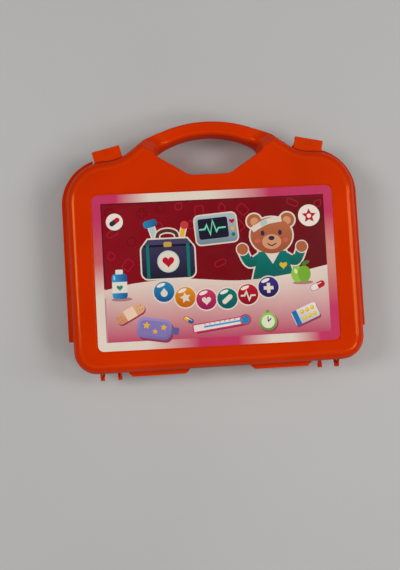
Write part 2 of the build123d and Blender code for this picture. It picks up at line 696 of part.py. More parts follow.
def syringe():
    """Barrel with nozzle and finger grip, and the plunger that slides in it."""
    bore = SYRINGE_RADIUS - SYRINGE_WALL
    inside = NOZZLE_LENGTH + SYRINGE_WALL
    end = NOZZLE_LENGTH + SYRINGE_LENGTH
    barrel = turned(outlined(
        (0, NOZZLE_BORE), (0, NOZZLE_RADIUS), (NOZZLE_LENGTH, NOZZLE_RADIUS),
        (NOZZLE_LENGTH, SYRINGE_RADIUS), (end, SYRINGE_RADIUS), (end, bore),
        (inside, bore), (inside, NOZZLE_BORE),
    ))
    plate = Box(GRIP_PLATE_THICK, GRIP_PLATE_WIDTH, 2 * SYRINGE_RADIUS)
    plate = fillet(plate.edges().filter_by(Axis.X), SYRINGE_RADIUS / 2)
    plate -= extrude(Plane.YZ * Circle(bore), amount=GRIP_PLATE_THICK, both=True)
    barrel += Pos(end - GRIP_PLATE_THICK / 2) * plate
    seal = extrude(Plane.YZ * Circle(bore - PLUNGER_PLAY), amount=PLUNGER_SEAL)
    rib = 2 * (bore - 2 * PLUNGER_PLAY)
    cross = Rectangle(rib, PLUNGER_RIB) + Rectangle(PLUNGER_RIB, rib)
    plunger = seal + extrude(Plane.YZ * cross, amount=PLUNGER_LENGTH)
    thumb = extrude(Plane.YZ * Circle(THUMB_RADIUS), amount=THUMB_THICK)
    plunger += Pos(PLUNGER_LENGTH) * fillet(thumb.edges(), THUMB_THICK / 3)
    place = laid(LEFT + SYRINGE_IN, SYRINGE_UP, SYRINGE_RADIUS)
    return {
        "syringe_barrel": place * barrel,
        "syringe_plunger": place * Pos(inside + PLUNGER_DEPTH) * plunger,
    }


def glasses():
    """Play glasses in one moulding, lying on their front with both arms folded over it."""
    outer = LENS_RADIUS + RIM_WIDTH
    half = LENS_SPACING / 2
    bridge = LENS_SPACING - 2 * LENS_RADIUS - RIM_WIDTH
    front = Rectangle(bridge, BRIDGE_HEIGHT)
    for side in SIDES:
        front += Pos(side * half, 0) * Circle(outer)
    for side in SIDES:
        front -= Pos(side * half, 0) * Circle(LENS_RADIUS)
    moulding = extrude(front, amount=GLASSES_THICK)
    hinge_x = half + outer
    for level, side in enumerate(SIDES):
        arm_low = GLASSES_THICK + ARM_GAP + level * (ARM_THICK + ARM_GAP)
        top = arm_low + ARM_THICK
        lug_low = (hinge_x - 2 * LUG_WIDTH, ARM_RISE - ARM_WIDTH / 2, 0)
        lug_face = GLASSES_THICK
        lug = span_box(lug_low, (hinge_x + LUG_WIDTH, ARM_RISE + ARM_WIDTH / 2, lug_face))
        lug -= Pos(half, 0) * Cylinder(LENS_RADIUS, FAR)
        post_low = (hinge_x, ARM_RISE - ARM_WIDTH / 2, 0)
        lug += span_box(post_low, (hinge_x + LUG_WIDTH, ARM_RISE + ARM_WIDTH / 2, top))
        start = hinge_x + LUG_WIDTH - ARM_LENGTH
        arm_start = (start, ARM_RISE - ARM_WIDTH / 2, arm_low)
        lug += span_box(arm_start, (hinge_x + LUG_WIDTH, ARM_RISE + ARM_WIDTH / 2, top))
        moulding += lug if side > 0 else mirror(lug, about=Plane.YZ)
    return {"play_glasses": laid(RIGHT - GLASSES_IN, GLASSES_UP) * moulding}


def bottle(radius, length, neck_radius, neck_length, cap_radius):
    """A hollow bottle along x with its foot at x = 0, and the cap on its neck."""
    end = length + neck_length
    inner, throat = radius - BOTTLE_WALL, neck_radius - BOTTLE_WALL
    section = outlined(
        (0, 0), (0, radius), (length, radius), (length, neck_radius), (end, neck_radius),
        (end, throat), (length - BOTTLE_WALL, throat), (length - BOTTLE_WALL, inner),
        (BOTTLE_WALL, inner), (BOTTLE_WALL, 0),
    )
    section = rounded_at(section, (0, radius, 0), BOTTLE_ROUND)
    section = rounded_at(section, (length, radius, 0), BOTTLE_ROUND)
    hood, bore = end + CAP_PLAY, neck_radius + CAP_PLAY
    lid = outlined(
        (length, bore), (length, cap_radius), (hood + BOTTLE_WALL, cap_radius),
        (hood + BOTTLE_WALL, 0), (hood, 0), (hood, bore),
    )
    lid = rounded_at(lid, (hood + BOTTLE_WALL, cap_radius, 0), BOTTLE_WALL / 2)
    return turned(section), turned(lid)


def medicine_bottle():
    """The medicine bottle with its cap."""
    neck = (BOTTLE_NECK_RADIUS, BOTTLE_NECK_LENGTH)
    body, cap = bottle(BOTTLE_RADIUS, BOTTLE_LENGTH, *neck, BOTTLE_CAP_RADIUS)
    place = laid(LEFT + BOTTLE_IN, BOTTLE_UP, BOTTLE_RADIUS)
    return {"medicine_bottle": place * body, "medicine_cap": place * cap}


def kidney_tray():
    """The bean-shaped tray with the pill bottle that lies in it."""
    bean = SlotArc(arc_between((0, 0), TRAY_BEND, 90 - TRAY_TURN, 90 + TRAY_TURN), TRAY_WIDTH)
    tray = extrude(bean, amount=TRAY_HEIGHT)
    hollow = extrude(offset(bean, amount=-TRAY_WALL), amount=TRAY_HEIGHT)
    tray = fillet(edges_on_level(tray, 0), TRAY_WALL) - Pos(0, 0, TRAY_WALL) * hollow
    neck = (PILL_NECK_RADIUS, PILL_NECK_LENGTH)
    body, cap = bottle(PILL_RADIUS, PILL_LENGTH, *neck, PILL_CAP_RADIUS)
    place = laid(RIGHT - TRAY_IN, TRAY_UP)
    inside = place * Pos(PILL_ACROSS, PILL_UP, TRAY_WALL + PILL_RADIUS)
    return {"kidney_tray": place * tray, "pill_bottle": inside * body, "pill_cap": inside * cap}


def test_tube():
    """The test tube with its stopper."""
    inner = TEST_TUBE_RADIUS - BOTTLE_WALL
    section = outlined(
        (0, 0), (0, TEST_TUBE_RADIUS), (TEST_TUBE_LENGTH, TEST_TUBE_RADIUS),
        (TEST_TUBE_LENGTH, inner), (BOTTLE_WALL, inner), (BOTTLE_WALL, 0),
    )
    section = rounded_at(section, (0, TEST_TUBE_RADIUS, 0), TEST_TUBE_RADIUS - BOTTLE_ROUND)
    section = rounded_at(section, (BOTTLE_WALL, inner, 0), inner - BOTTLE_ROUND)
    head_end = TEST_TUBE_LENGTH + STOPPER_LENGTH
    plug = inner - CAP_PLAY
    stopper = outlined(
        (TEST_TUBE_LENGTH - STOPPER_PLUG, 0), (TEST_TUBE_LENGTH - STOPPER_PLUG, plug),
        (TEST_TUBE_LENGTH, plug), (TEST_TUBE_LENGTH, STOPPER_RADIUS),
        (head_end, STOPPER_RADIUS), (head_end, 0),
    )
    place = laid(TEST_TUBE_X, TEST_TUBE_UP, STOPPER_RADIUS)
    return {"test_tube": place * turned(section), "tube_stopper": place * turned(stopper)}


def bowl():
    """The mixing bowl, open upwards."""
    inner_foot = BOWL_FOOT - BOWL_WALL / 2
    rim = BOWL_RADIUS + BOWL_RIM
    inner = BOWL_RADIUS - BOWL_WALL
    section = outlined(
        (0, 0), (BOWL_FOOT, 0), (BOWL_RADIUS, BOWL_HEIGHT - BOWL_RIM), (rim, BOWL_HEIGHT - BOWL_RIM),
        (rim, BOWL_HEIGHT), (inner, BOWL_HEIGHT), (inner_foot, BOWL_WALL), (0, BOWL_WALL),
    )
    return {"mixing_bowl": laid(RIGHT - BOWL_IN, BOWL_UP) * turned_upright(section)}


def clipboard():
    """The clipboard with its clip at the upper edge."""
    face = RectangleRounded(BOARD_WIDTH, BOARD_LENGTH, BOARD_CORNER)
    board = extrude(face, amount=BOARD_THICK)
    size = (BOARD_CLIP_WIDTH, BOARD_CLIP_LENGTH, BOARD_CLIP_HEIGHT)
    clamp = Box(*size, align=(Align.CENTER, Align.MAX, Align.MIN))
    clamp = fillet(clamp.edges().filter_by(Axis.X).group_by(Axis.Z)[-1], BOARD_CLIP_ROUND)
    place = laid(BOARD_X, BOARD_UP)
    seat = place * Pos(0, BOARD_LENGTH / 2, BOARD_THICK)
    return {"clipboard": place * board, "clipboard_clip": seat * clamp}


def on_board(x, y):
    """The place of a toy that lies on the clipboard, from the clipboard's middle."""
    return laid(BOARD_X + x, BOARD_UP + y, BOARD_THICK)


def thermometer():
    """A flat play thermometer with a narrow tip."""
    body = SlotOverall(THERMOMETER_LENGTH, THERMOMETER_WIDTH, rotation=90)
    tip_y = -THERMOMETER_LENGTH / 2 - THERMOMETER_TIP_LENGTH / 4
    tip = Pos(0, tip_y) * SlotOverall(THERMOMETER_TIP_LENGTH, THERMOMETER_TIP, rotation=90)
    stick = extrude(body + tip, amount=THERMOMETER_THICK)
    return {"thermometer": on_board(THERMOMETER_X, THERMOMETER_Y) * stick}


def tweezers():
    """Springy tweezers: two arms that meet at the head."""
    half, reach = TWEEZERS_OPEN / 2, TWEEZERS_LENGTH
    head = TWEEZERS_ARM
    outer = outlined((-half, 0), (half, 0), (head, reach), (-head, reach))
    fork = reach - 3 * TWEEZERS_ARM
    inner = outlined((TWEEZERS_ARM - half, 0), (half - TWEEZERS_ARM, 0), (0, fork))
    bent = extrude(outer - inner, amount=TWEEZERS_HEIGHT)
    return {"tweezers": on_board(0, TWEEZERS_Y) * bent}


def dental_mirror():
    """A round mirror on a rod, its glass flush in the rim."""
    rod = extrude(Plane.XZ * Circle(MIRROR_ROD_RADIUS), amount=-MIRROR_ROD_LENGTH)
    rod = Pos(0, 0, MIRROR_ROD_RADIUS) * rod
    head_y = MIRROR_ROD_LENGTH + MIRROR_RADIUS - MIRROR_RIM
    recess = MIRROR_THICK - MIRROR_GLASS_THICK
    glass_face = Pos(0, head_y, recess) * Circle(MIRROR_RADIUS - MIRROR_RIM)
    glass = extrude(glass_face, amount=MIRROR_GLASS_THICK)
    head = extrude(Pos(0, head_y) * Circle(MIRROR_RADIUS), amount=MIRROR_THICK)
    room = extrude(glass_face, amount=FAR)
    place = on_board(MIRROR_X, MIRROR_Y)
    return {"mirror_handle": place * (rod + head - room), "mirror_glass": place * glass}


def reflex_hammer():
    """A rubber-headed reflex hammer with a swelling grip."""
    half, radius = HAMMER_HEAD_LENGTH / 2, HAMMER_HEAD_RADIUS
    head = extrude(Plane.YZ * Circle(radius), amount=half, both=True)
    head = fillet(head.edges(), HAMMER_HEAD_ROUND)
    head -= Cylinder(HAMMER_ROD_RADIUS, FAR, rotation=(90, 0, 0))
    rod = turned(outlined(
        (-radius, 0), (-radius, HAMMER_ROD_RADIUS), (HAMMER_GRIP_START, HAMMER_ROD_RADIUS),
        (HAMMER_GRIP_END - HAMMER_GRIP_RADIUS, HAMMER_GRIP_RADIUS),
        (HAMMER_GRIP_END, HAMMER_GRIP_RADIUS), (HAMMER_GRIP_END, 0),
    ))
    place = laid(RIGHT - HAMMER_IN, HAMMER_UP, radius)
    return {"hammer_head": place * head, "hammer_handle": place * Rot(0, 0, 90) * rod}


def scissors_half(side):
    """One half in plan: blade upwards, shank and finger ring downwards to one side."""
    half = BLADE_WIDTH / 2
    ring_x, ring_y = side * RING_OUT, -RING_DOWN
    blade = outlined(
        (-half, 0), (half, 0), (BLADE_TIP / 2, BLADE_LENGTH), (-BLADE_TIP / 2, BLADE_LENGTH),
    )
    shank = SlotCenterPoint((ring_x / 2, ring_y / 2), (ring_x, ring_y), SHANK_WIDTH)
    plan = blade + Circle(half) + shank + Pos(ring_x, ring_y) * Circle(RING_RADIUS)
    return plan - Pos(ring_x, ring_y) * Circle(RING_RADIUS - RING_BAND)


def scissors():
    """Two halves one above the other; the lower one carries the pivot pin."""
    level = BLADE_THICK + BLADE_GAP
    pin_top = level + BLADE_THICK + BLADE_GAP
    lower = extrude(scissors_half(-1), amount=BLADE_THICK)
    lower += extrude(Circle(PIVOT_PIN_RADIUS), amount=pin_top)
    rivet = extrude(Circle(PIVOT_PIN_RADIUS + PIVOT_PIN_HEAD), amount=PIVOT_PIN_HEAD)
    lower += Pos(0, 0, pin_top) * rivet
    plan = scissors_half(1) - Circle(PIVOT_PIN_RADIUS + PIVOT_PIN_PLAY)
    upper = Pos(0, 0, level) * extrude(plan, amount=BLADE_THICK)
    place = laid(LEFT + SCISSORS_IN, SCISSORS_UP)
    return {"scissors_lower": place * lower, "scissors_upper": place * upper}


TOYS = (
    stethoscope, syringe, glasses, medicine_bottle, kidney_tray, test_tube, bowl,
    clipboard, thermometer, tweezers, dental_mirror, reflex_hammer, scissors,
)

pieces = case_pieces()
for toy in TOYS:
    pieces.update(toy())
for name, shape in pieces.items():
    write(name, shape)
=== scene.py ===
import json
import math

import bmesh
import bpy
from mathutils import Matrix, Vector
from mathutils.geometry import delaunay_2d_cdt


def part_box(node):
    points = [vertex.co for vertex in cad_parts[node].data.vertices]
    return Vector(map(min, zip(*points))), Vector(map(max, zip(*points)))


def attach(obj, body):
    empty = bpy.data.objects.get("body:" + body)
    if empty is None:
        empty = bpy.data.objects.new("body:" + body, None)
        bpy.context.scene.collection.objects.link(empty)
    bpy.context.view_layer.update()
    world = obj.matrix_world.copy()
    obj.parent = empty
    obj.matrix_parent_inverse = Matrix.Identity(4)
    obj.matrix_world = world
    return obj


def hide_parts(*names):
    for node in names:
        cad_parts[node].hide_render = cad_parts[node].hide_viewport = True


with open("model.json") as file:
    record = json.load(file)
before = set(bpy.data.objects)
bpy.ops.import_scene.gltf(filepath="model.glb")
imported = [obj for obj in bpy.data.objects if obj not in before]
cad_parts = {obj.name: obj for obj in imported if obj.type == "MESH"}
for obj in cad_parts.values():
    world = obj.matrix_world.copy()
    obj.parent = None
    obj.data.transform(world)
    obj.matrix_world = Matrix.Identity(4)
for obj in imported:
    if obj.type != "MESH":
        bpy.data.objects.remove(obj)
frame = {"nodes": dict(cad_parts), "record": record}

MM = 0.001
NODES = frame["nodes"]
SLOTS = {part["node"]: part["material_slot"] for part in frame["record"]["subparts"]}
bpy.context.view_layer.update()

# ---- camera, in metres and degrees ------------------------------------------
CAMERA_PLACE = (-0.04233, -0.06225, 0.69759)
CAMERA_TURN = (2.6206, -2.2783, -3.4507)
CAMERA_LENS = 47.37          # millimetres, as is the sensor
SENSOR = 36.0
NEAREST, FARTHEST = 0.01, 20.0

# ---- room, in metres and watts ----------------------------------------------
FLOOR_SIZE = 4.0
FLOOR_GREY = (184, 185, 186)
SKY_WHITE = (255, 253, 250)
SKY_STEPS = (                # brightness of the surround by height, from level (0) to straight up (1)
    (0.0, 0.07), (0.60, 0.10), (0.78, 0.84), (0.92, 0.84), (0.97, 0.05),
)
SKY_PEAK = max(strength for _, strength in SKY_STEPS)
SKY_LEAN = (1.1, 0.6)        # brighter towards the case's foot (-Y) than towards its handle (+Y)
SKY_LEAN_REACH = 0.65        # share of Y in the direction where the lean is full
LAMP_WHITE = (255, 252, 248)
LAMP_AIM = (0.0, 0.0, 0.03)
LAMPS = {                    # place, size and power of each soft window
    "left_window": ((-1.30, 0.25, 1.50), (0.62, 0.70), 12.6),
    "right_window": ((1.235, 0.10, 1.375), (0.52, 0.96), 10.8),
    "corner_window": ((1.08, -0.72, 1.40), (0.45, 0.45), 5.6),
}

# ---- plastics: colours in sRGB from 0 to 255, depths in metres --------------
CASE_ORANGE = (205, 48, 1)
CLIP_ORANGE = (207, 53, 3)
CASE_CREASE = 0.0008         # round of the case's finest edges
WARM = (1.0, 0.55, 0.15, 1.0)     # tint of the orange's highlights, as in the photo
NEUTRAL = (1.0, 1.0, 1.0, 1.0)
STEEP, LEVEL = 0.4, 0.85     # the mould is etched on walls, and polished where it is nearly level
FINE_GRAIN = 0.00001
RUBBER_GRAIN = 0.00003
WAVE_DEPTH = 0.00008         # slow waves of a moulded wall
TOY_PLASTICS = {             # colour and roughness of each plastic of the toys
    "toy_pink": ((228, 88, 140), 0.28),
    "toy_blue": ((42, 132, 200), 0.28),
    "toy_yellow": ((240, 190, 40), 0.28),
    "toy_green": ((120, 200, 95), 0.28),
    "toy_lilac": ((150, 130, 200), 0.30),
    "toy_white": ((226, 226, 222), 0.28),
    "toy_maroon": ((118, 40, 52), 0.34),
    "toy_teal": ((20, 140, 135), 0.30),
}

# ---- label, in millimetres --------------------------------------------------
LABEL_WIDTH = 210.0
LABEL_HEIGHT = 135.4
LABEL_CORNER = 5.0
LABEL_TURN = -0.45           # the label lies very slightly askew, degrees
BORDER = 7.5                 # width of its printed frame
OUTLINE = 1.3                # pale outline round the bag and the bear

# ---- prints on the toys, in millimetres -------------------------------------
PRINT_THICK = 0.1
SYRINGE_RADIUS = 9.0
MEDICINE_RADIUS = 9.5
PILL_RADIUS = 8.0
SYRINGE_START = 14           # where each wrapped print begins along its toy
MEDICINE_START = 4
PILL_START = 3
SCALE_SHIFT = 4              # the thermometer's scale lies off its middle
SCALE_SIZE = (43.4, 8.4)     # pale ground of the syringe's scale
SCALE_RIM = 0.6              # dark line round it, both sides together
MEDICINE_SIZE = (22, 26)
PILL_SIZE = (15, 22)
WINDOW_SIZE = (4.6, 41.4)    # pale window of the thermometer's scale

# ---- inks, in sRGB from 0 to 255 --------------------------------------------
WHITE = (226, 214, 200)
CREAM = (236, 226, 216)
PINK = (196, 52, 98)
ROSE = (204, 100, 108)
PALE_ROSE = (212, 140, 126)
NAVY = (46, 40, 68)
TEAL = (10, 116, 108)
DEEP_TEAL = (6, 92, 86)
BROWN = (176, 98, 62)
PEACH = (214, 150, 112)
BLUE = (40, 132, 180)
SKY = (176, 200, 202)
YELLOW = (230, 178, 40)
RED = (186, 14, 38)
ORANGE = (224, 140, 30)
TABLE_SHADOW = (176, 120, 118)    # shadow of a motif on the pale table
MARKED = (30, 60, 130)
TOY_WHITE = (226, 226, 222)
BAND_WHITE = (236, 236, 228)
PILL_WHITE = (236, 232, 226)
VIOLET = (104, 78, 158)


# ---- colours and node helpers -----------------------------------------------
def linear(colour):
    """Scene-linear RGB of a colour written as sRGB from 0 to 255."""
    shares = [part / 255 for part in colour]
    return [s / 12.92 if s <= 0.04045 else ((s + 0.055) / 1.055) ** 2.4 for s in shares]


def rgba(colour):
    return (*linear(colour), 1.0)


def mapped(tree, value, ends):
    """Maps a value onto a range: ends are the two values it comes from, then the two results."""
    node = tree.nodes.new("ShaderNodeMapRange")
    for socket, number in zip(("From Min", "From Max", "To Min", "To Max"), ends):
        node.inputs[socket].default_value = number
    tree.links.new(value, node.inputs["Value"])
    return node.outputs["Result"]


def reckoned(tree, operation, *values):
    """The result of one sum over the given sockets."""
    node = tree.nodes.new("ShaderNodeMath")
    node.operation = operation
    for value, socket in zip(values, node.inputs):
        tree.links.new(value, socket)
    return node.outputs[0]


# ---- materials --------------------------------------------------------------
class Shader:
    """A node material under construction, with its main shader ready."""

    def __init__(self, name):
        self.material = bpy.data.materials.new(name)
        self.material.use_nodes = True
        self.tree = self.material.node_tree
        self.surface = self.tree.nodes["Principled BSDF"]
        self.place = self.add("ShaderNodeTexCoord").outputs["Object"]

    def add(self, kind, **settings):
        """Adds a node; settings that name an input go to the input, the rest to the node."""
        node = self.tree.nodes.new(kind)
        for key, value in settings.items():
            words = key.replace("_", " ").title()
            if words in node.inputs:
                node.inputs[words].default_value = value
            else:
                setattr(node, key, value)
        return node

    def join(self, output, target):
        self.tree.links.new(output, target)

    def feed(self, output, socket):
        """Joins an output to the main shader's socket of that name."""
        self.join(output, self.surface.inputs[socket])

    def noise(self, scale, detail=2.0, stretch=None):
        """Noise over the object, with features about 1/scale metres wide."""
        place = self.place
        if stretch:
            mapping = self.add("ShaderNodeMapping")
            mapping.inputs["Scale"].default_value = stretch
            mapping.inputs["Rotation"].default_value = (0.0, 0.0, 0.6)
            self.join(place, mapping.inputs["Vector"])
            place = mapping.outputs["Vector"]
        node = self.add("ShaderNodeTexNoise", scale=scale, detail=detail)
        self.join(place, node.inputs["Vector"])
        return node.outputs["Fac"]

    def spread(self, value, low, high, start=0.3, end=0.7):
        """Maps a noise value onto a range of numbers."""
        return mapped(self.tree, value, (start, end, low, high))

    def shade(self, colour, value, low, high):
        """The colour, darker and lighter with a noise value. colour is a socket or sRGB."""
        node = self.add("ShaderNodeMix", data_type="RGBA", blend_type="MULTIPLY")
        share, first, second = node.inputs[0], node.inputs[6], node.inputs[7]
        share.default_value = 1.0
        if isinstance(colour, tuple):
            first.default_value = rgba(colour)
        else:
            self.join(colour, first)
        self.join(self.spread(value, low, high), second)
        return node.outputs[2]

    def levelness(self):
        """1 where the part's own surface lies flat, 0 on its upright walls."""
        parts = self.add("ShaderNodeSeparateXYZ")
        self.join(self.place.node.outputs["Normal"], parts.inputs["Vector"])
        return reckoned(self.tree, "ABSOLUTE", parts.outputs["Z"])

    def relief(self, value, depth):
        """Bump of a real depth in metres, added to any earlier one."""
        bump = self.add("ShaderNodeBump", strength=1.0, distance=depth)
        self.join(value, bump.inputs["Height"])
        earlier = self.surface.inputs["Normal"].links
        if earlier:
            self.join(earlier[0].from_socket, bump.inputs["Normal"])
        self.feed(bump.outputs["Normal"], "Normal")

    def soften(self, radius):
        """Rounds every crease a little, as a mould does."""
        rounded = self.add("ShaderNodeBevel", samples=8, radius=radius)
        self.feed(rounded.outputs["Normal"], "Normal")

    def set(self, **values):
        """Sets plain numbers on the shader's own sockets."""
        for key, value in values.items():
            socket = key.replace("_", " ").title().replace("Ior", "IOR")
            self.surface.inputs[socket].default_value = value


def moulded_plastic(name, colour, roughness, grain=FINE_GRAIN, tint=NEUTRAL, crease=0.0, etched=0.0):
    """Injection-moulded plastic: cloudy colour, uneven gloss, hairline scuffs, faint grain."""
    shader = Shader(name)
    clouded = shader.shade(colour, shader.noise(scale=18.0, detail=3.0), low=0.94, high=1.06)
    specked = shader.shade(clouded, shader.noise(scale=900.0), low=0.985, high=1.015)
    shader.feed(specked, "Base Color")
    patches = shader.noise(scale=60.0, detail=4.0)
    hairs = shader.noise(scale=9.0, detail=6.0, stretch=(1.0, 60.0, 60.0))
    dull = shader.spread(patches, low=roughness - 0.01, high=roughness + 0.03)
    scuffed = shader.spread(hairs, low=0.0, high=0.08, start=0.62, end=0.74)
    gloss = reckoned(shader.tree, "ADD", dull, scuffed)
    if etched:
        walls = shader.spread(shader.levelness(), low=etched, high=0.0, start=STEEP, end=LEVEL)
        gloss = reckoned(shader.tree, "ADD", gloss, walls)
    shader.feed(gloss, "Roughness")
    if crease:
        shader.soften(crease)
    shader.relief(shader.noise(scale=1800.0, detail=3.0), grain)
    shader.relief(shader.noise(scale=35.0), WAVE_DEPTH)
    shader.set(ior=1.49, specular_ior_level=0.3, specular_tint=tint)
    return shader.material


def mirror_film():
    """Silvered plastic film, slightly wavy and dusty."""
    shader = Shader("mirror_film")
    film = shader.shade((215, 217, 220), shader.noise(scale=40.0), low=0.96, high=1.0)
    shader.feed(film, "Base Color")
    dust = shader.spread(shader.noise(scale=220.0, detail=4.0), low=0.05, high=0.16)
    shader.feed(dust, "Roughness")
    shader.relief(shader.noise(scale=90.0, detail=1.0), depth=0.00002)
    shader.set(metallic=1.0)
    return shader.material


def label_ink():
    """Printed film: the inks, a faint printing grain and an uneven satin laminate."""
    shader = Shader("label_ink")
    inks = shader.add("ShaderNodeAttribute", attribute_name="ink").outputs["Color"]
    worn = shader.shade(inks, shader.noise(scale=30.0, detail=4.0), low=0.96, high=1.03)
    grainy = shader.shade(worn, shader.noise(scale=1500.0), low=0.975, high=1.02)
    shader.feed(grainy, "Base Color")
    satin = shader.spread(shader.noise(scale=50.0, detail=4.0), low=0.26, high=0.34)
    shader.feed(satin, "Roughness")
    shader.relief(shader.noise(scale=26.0), depth=0.00006)
    shader.set(ior=1.47, specular_ior_level=0.28)
    return shader.material


def dress_nodes():
    """Gives every carried-over CAD piece its finish."""
    finishes = {name: moulded_plastic(name, *look) for name, look in TOY_PLASTICS.items()}
    finishes["case_orange"] = moulded_plastic(
        "case_orange", CASE_ORANGE, roughness=0.13, tint=WARM, crease=CASE_CREASE, etched=0.5)
    finishes["clip_orange"] = moulded_plastic(
        "clip_orange", CLIP_ORANGE, roughness=0.17, tint=WARM, etched=0.4)
    finishes["hammer_rubber"] = moulded_plastic("hammer_rubber", (190, 50, 45), 0.62, RUBBER_GRAIN)
    finishes["mirror_film"] = mirror_film()
    finishes["label_print"] = moulded_plastic("label_back", (210, 200, 190), roughness=0.4)
    for node, piece in NODES.items():
        piece.data.materials.clear()
        piece.data.materials.append(finishes[SLOTS[node]])


# ---- flat shapes, in label millimetres: u to the right, v up ----------------
def turned(points, place, degrees=0.0):
    """Points turned about the origin, then moved to a place."""
    c, s = math.cos(math.radians(degrees)), math.sin(math.radians(degrees))
    return [(place[0] + u * c - v * s, place[1] + u * s + v * c) for u, v in points]


def spot_at(u, v, place, degrees):
    """One point turned about the origin, then moved to a place."""
    return turned([(u, v)], place, degrees)[0]


def oval(place, radius, high=None, degrees=0.0, count=28):
    high = high or radius
    steps = [2 * math.pi * i / count for i in range(count)]
    return turned([(radius * math.cos(a), high * math.sin(a)) for a in steps], place, degrees)


def block(place, size, corner=0.0, degrees=0.0):
    """A rectangle, with rounded corners where a corner radius is given."""
    half_u, half_v = size[0] / 2, size[1] / 2
    if not corner:
        square = [(-half_u, -half_v), (half_u, -half_v), (half_u, half_v), (-half_u, half_v)]
        return turned(square, place, degrees)
    points = []
    for quarter, (side_u, side_v) in enumerate(((1, 1), (-1, 1), (-1, -1), (1, -1))):
        for i in range(6):
            a = math.pi / 2 * (quarter + i / 5)
            u = side_u * (half_u - corner) + corner * math.cos(a)
            v = side_v * (half_v - corner) + corner * math.sin(a)
            points.append((u, v))
    return turned(points, place, degrees)


def heart(place, size, degrees=0.0):
    points = []
    for i in range(32):
        a = 2 * math.pi * i / 32
        rise = 13 * math.cos(a) - 5 * math.cos(2 * a) - 2 * math.cos(3 * a) - math.cos(4 * a)
        points.append((size * math.sin(a) ** 3, size * (rise + 2) / 16))
    return turned(points, place, degrees)


def plus(place, size, width, degrees=0.0):
    s, w = size / 2, width / 2
    upper_left = [(w, s), (-w, s), (-w, w), (-s, w)]
    lower = [(-s, -w), (-w, -w), (-w, -s), (w, -s), (w, -w), (s, -w)]
    return turned([*upper_left, *lower, (s, w), (w, w)], place, degrees)


def star(place, radius, degrees=0.0):
    points = []
    for i in range(10):
        a = math.pi / 2 + math.pi * i / 5
        r = radius if i % 2 == 0 else radius * 0.48
        points.append((r * math.cos(a), r * math.sin(a)))
    return turned(points, place, degrees)


def drop(place, size, degrees=0.0):
    points = [(0.0, 1.55 * size)]
    for i in range(17):
        a = math.radians(150 + 240 * i / 16)
        points.append((size * math.cos(a), size * math.sin(a)))
    return turned(points, place, degrees)


def area(points):
    """Area inside an outline, positive where it runs anticlockwise."""
    return sum(a[0] * b[1] - b[0] * a[1] for a, b in zip(points, points[1:] + points[:1])) / 2


def grown(points, margin):
    """The outline moved outwards by a margin."""
    count, result = len(points), []
    side = 1.0 if area(points) > 0 else -1.0
    for i in range(count):
        back, here, ahead = points[i - 1], points[i], points[(i + 1) % count]
        first = Vector((here[1] - back[1], back[0] - here[0])).normalized()
        second = Vector((ahead[1] - here[1], here[0] - ahead[0])).normalized()
        lean = (first + second).normalized()
        reach = side * margin / max(0.5, lean.dot(first))
        result.append((here[0] + lean.x * reach, here[1] + lean.y * reach))
    return result


def band(path, width):
    """A stroke of even width along a path."""
    left, right = [], []
    for i, here in enumerate(path):
        back, ahead = path[max(0, i - 1)], path[min(len(path) - 1, i + 1)]
        first = Vector((here[0] - back[0], here[1] - back[1]))
        second = Vector((ahead[0] - here[0], ahead[1] - here[1]))
        first = (first if first.length else second).normalized()
        second = (second if second.length else first).normalized()
        along = (first + second).normalized()
        reach = width / 2 / max(0.45, along.dot(first))
        left.append((here[0] - along.y * reach, here[1] + along.x * reach))
        right.append((here[0] + along.y * reach, here[1] - along.x * reach))
    return left + right[::-1]


def bend(points, count=8):
    """A smooth path through the given points."""
    ends = [points[0]] + list(points) + [points[-1]]
    path = []
    for near in zip(ends, ends[1:], ends[2:], ends[3:]):
        for i in range(count):
            path.append(tuple(eased(*line, i / count) for line in zip(*near)))
    return path + [points[-1]]


def eased(before, start, end, after, t):
    """Catmull-Rom value between start and end, at share t of the way."""
    slope = end - before
    dip = 2 * before - 5 * start + 4 * end - after
    twist = 3 * start - before - 3 * end + after
    return 0.5 * (2 * start + slope * t + dip * t * t + twist * t ** 3)


def fade(colour, other, start, end):
    """An ink whose colour runs evenly from start to end."""
    first, second = linear(colour), linear(other)
    run = (end[0] - start[0], end[1] - start[1])
    length = run[0] ** 2 + run[1] ** 2

    def ink(u, v):
        share = ((u - start[0]) * run[0] + (v - start[1]) * run[1]) / length
        share = min(1.0, max(0.0, share))
        return [a + (b - a) * share for a, b in zip(first, second)]
    return ink


def flat(colour):
    """An ink of one colour."""
    return fade(colour, colour, (0, 0), (1, 0))


class Picture:
    """Flat shapes, later ones on top, cut into one sheet of painted triangles."""

    def __init__(self):
        self.shapes, self.inks = [], []

    def add(self, points, colour, other=None, start=None, end=None):
        """Adds a shape in one colour, or fading from start to end into another."""
        self.paint(points, fade(colour, other, start, end) if other else flat(colour))

    def paint(self, points, ink):
        self.shapes.append(points if area(points) > 0 else points[::-1])
        self.inks.append(ink)

    def sheet(self):
        """The picture's corner points, and its faces with the number of the shape on top."""
        points, loops = [], []
        for shape in self.shapes:
            loops.append(list(range(len(points), len(points) + len(shape))))
            points += [Vector(point) for point in shape]
        spots, _, faces, _, _, owners = delaunay_2d_cdt(points, [], loops, 1, 1e-4, True)
        kept = [(face, max(own)) for face, own in zip(faces, owners) if 0 in own]
        return spots, kept


# ---- the label's grounds ----------------------------------------------------
CRIMSON = fade((136, 3, 22), (103, 1, 12), (-80, 40), (90, -10))
TABLE = fade((228, 212, 200), (188, 62, 98), (0, -8), (0, -62))
INNER_U = LABEL_WIDTH / 2 - BORDER
INNER_V = LABEL_HEIGHT / 2 - BORDER


def between(ends, share):
    return tuple(a + (b - a) * share for a, b in zip(*ends))


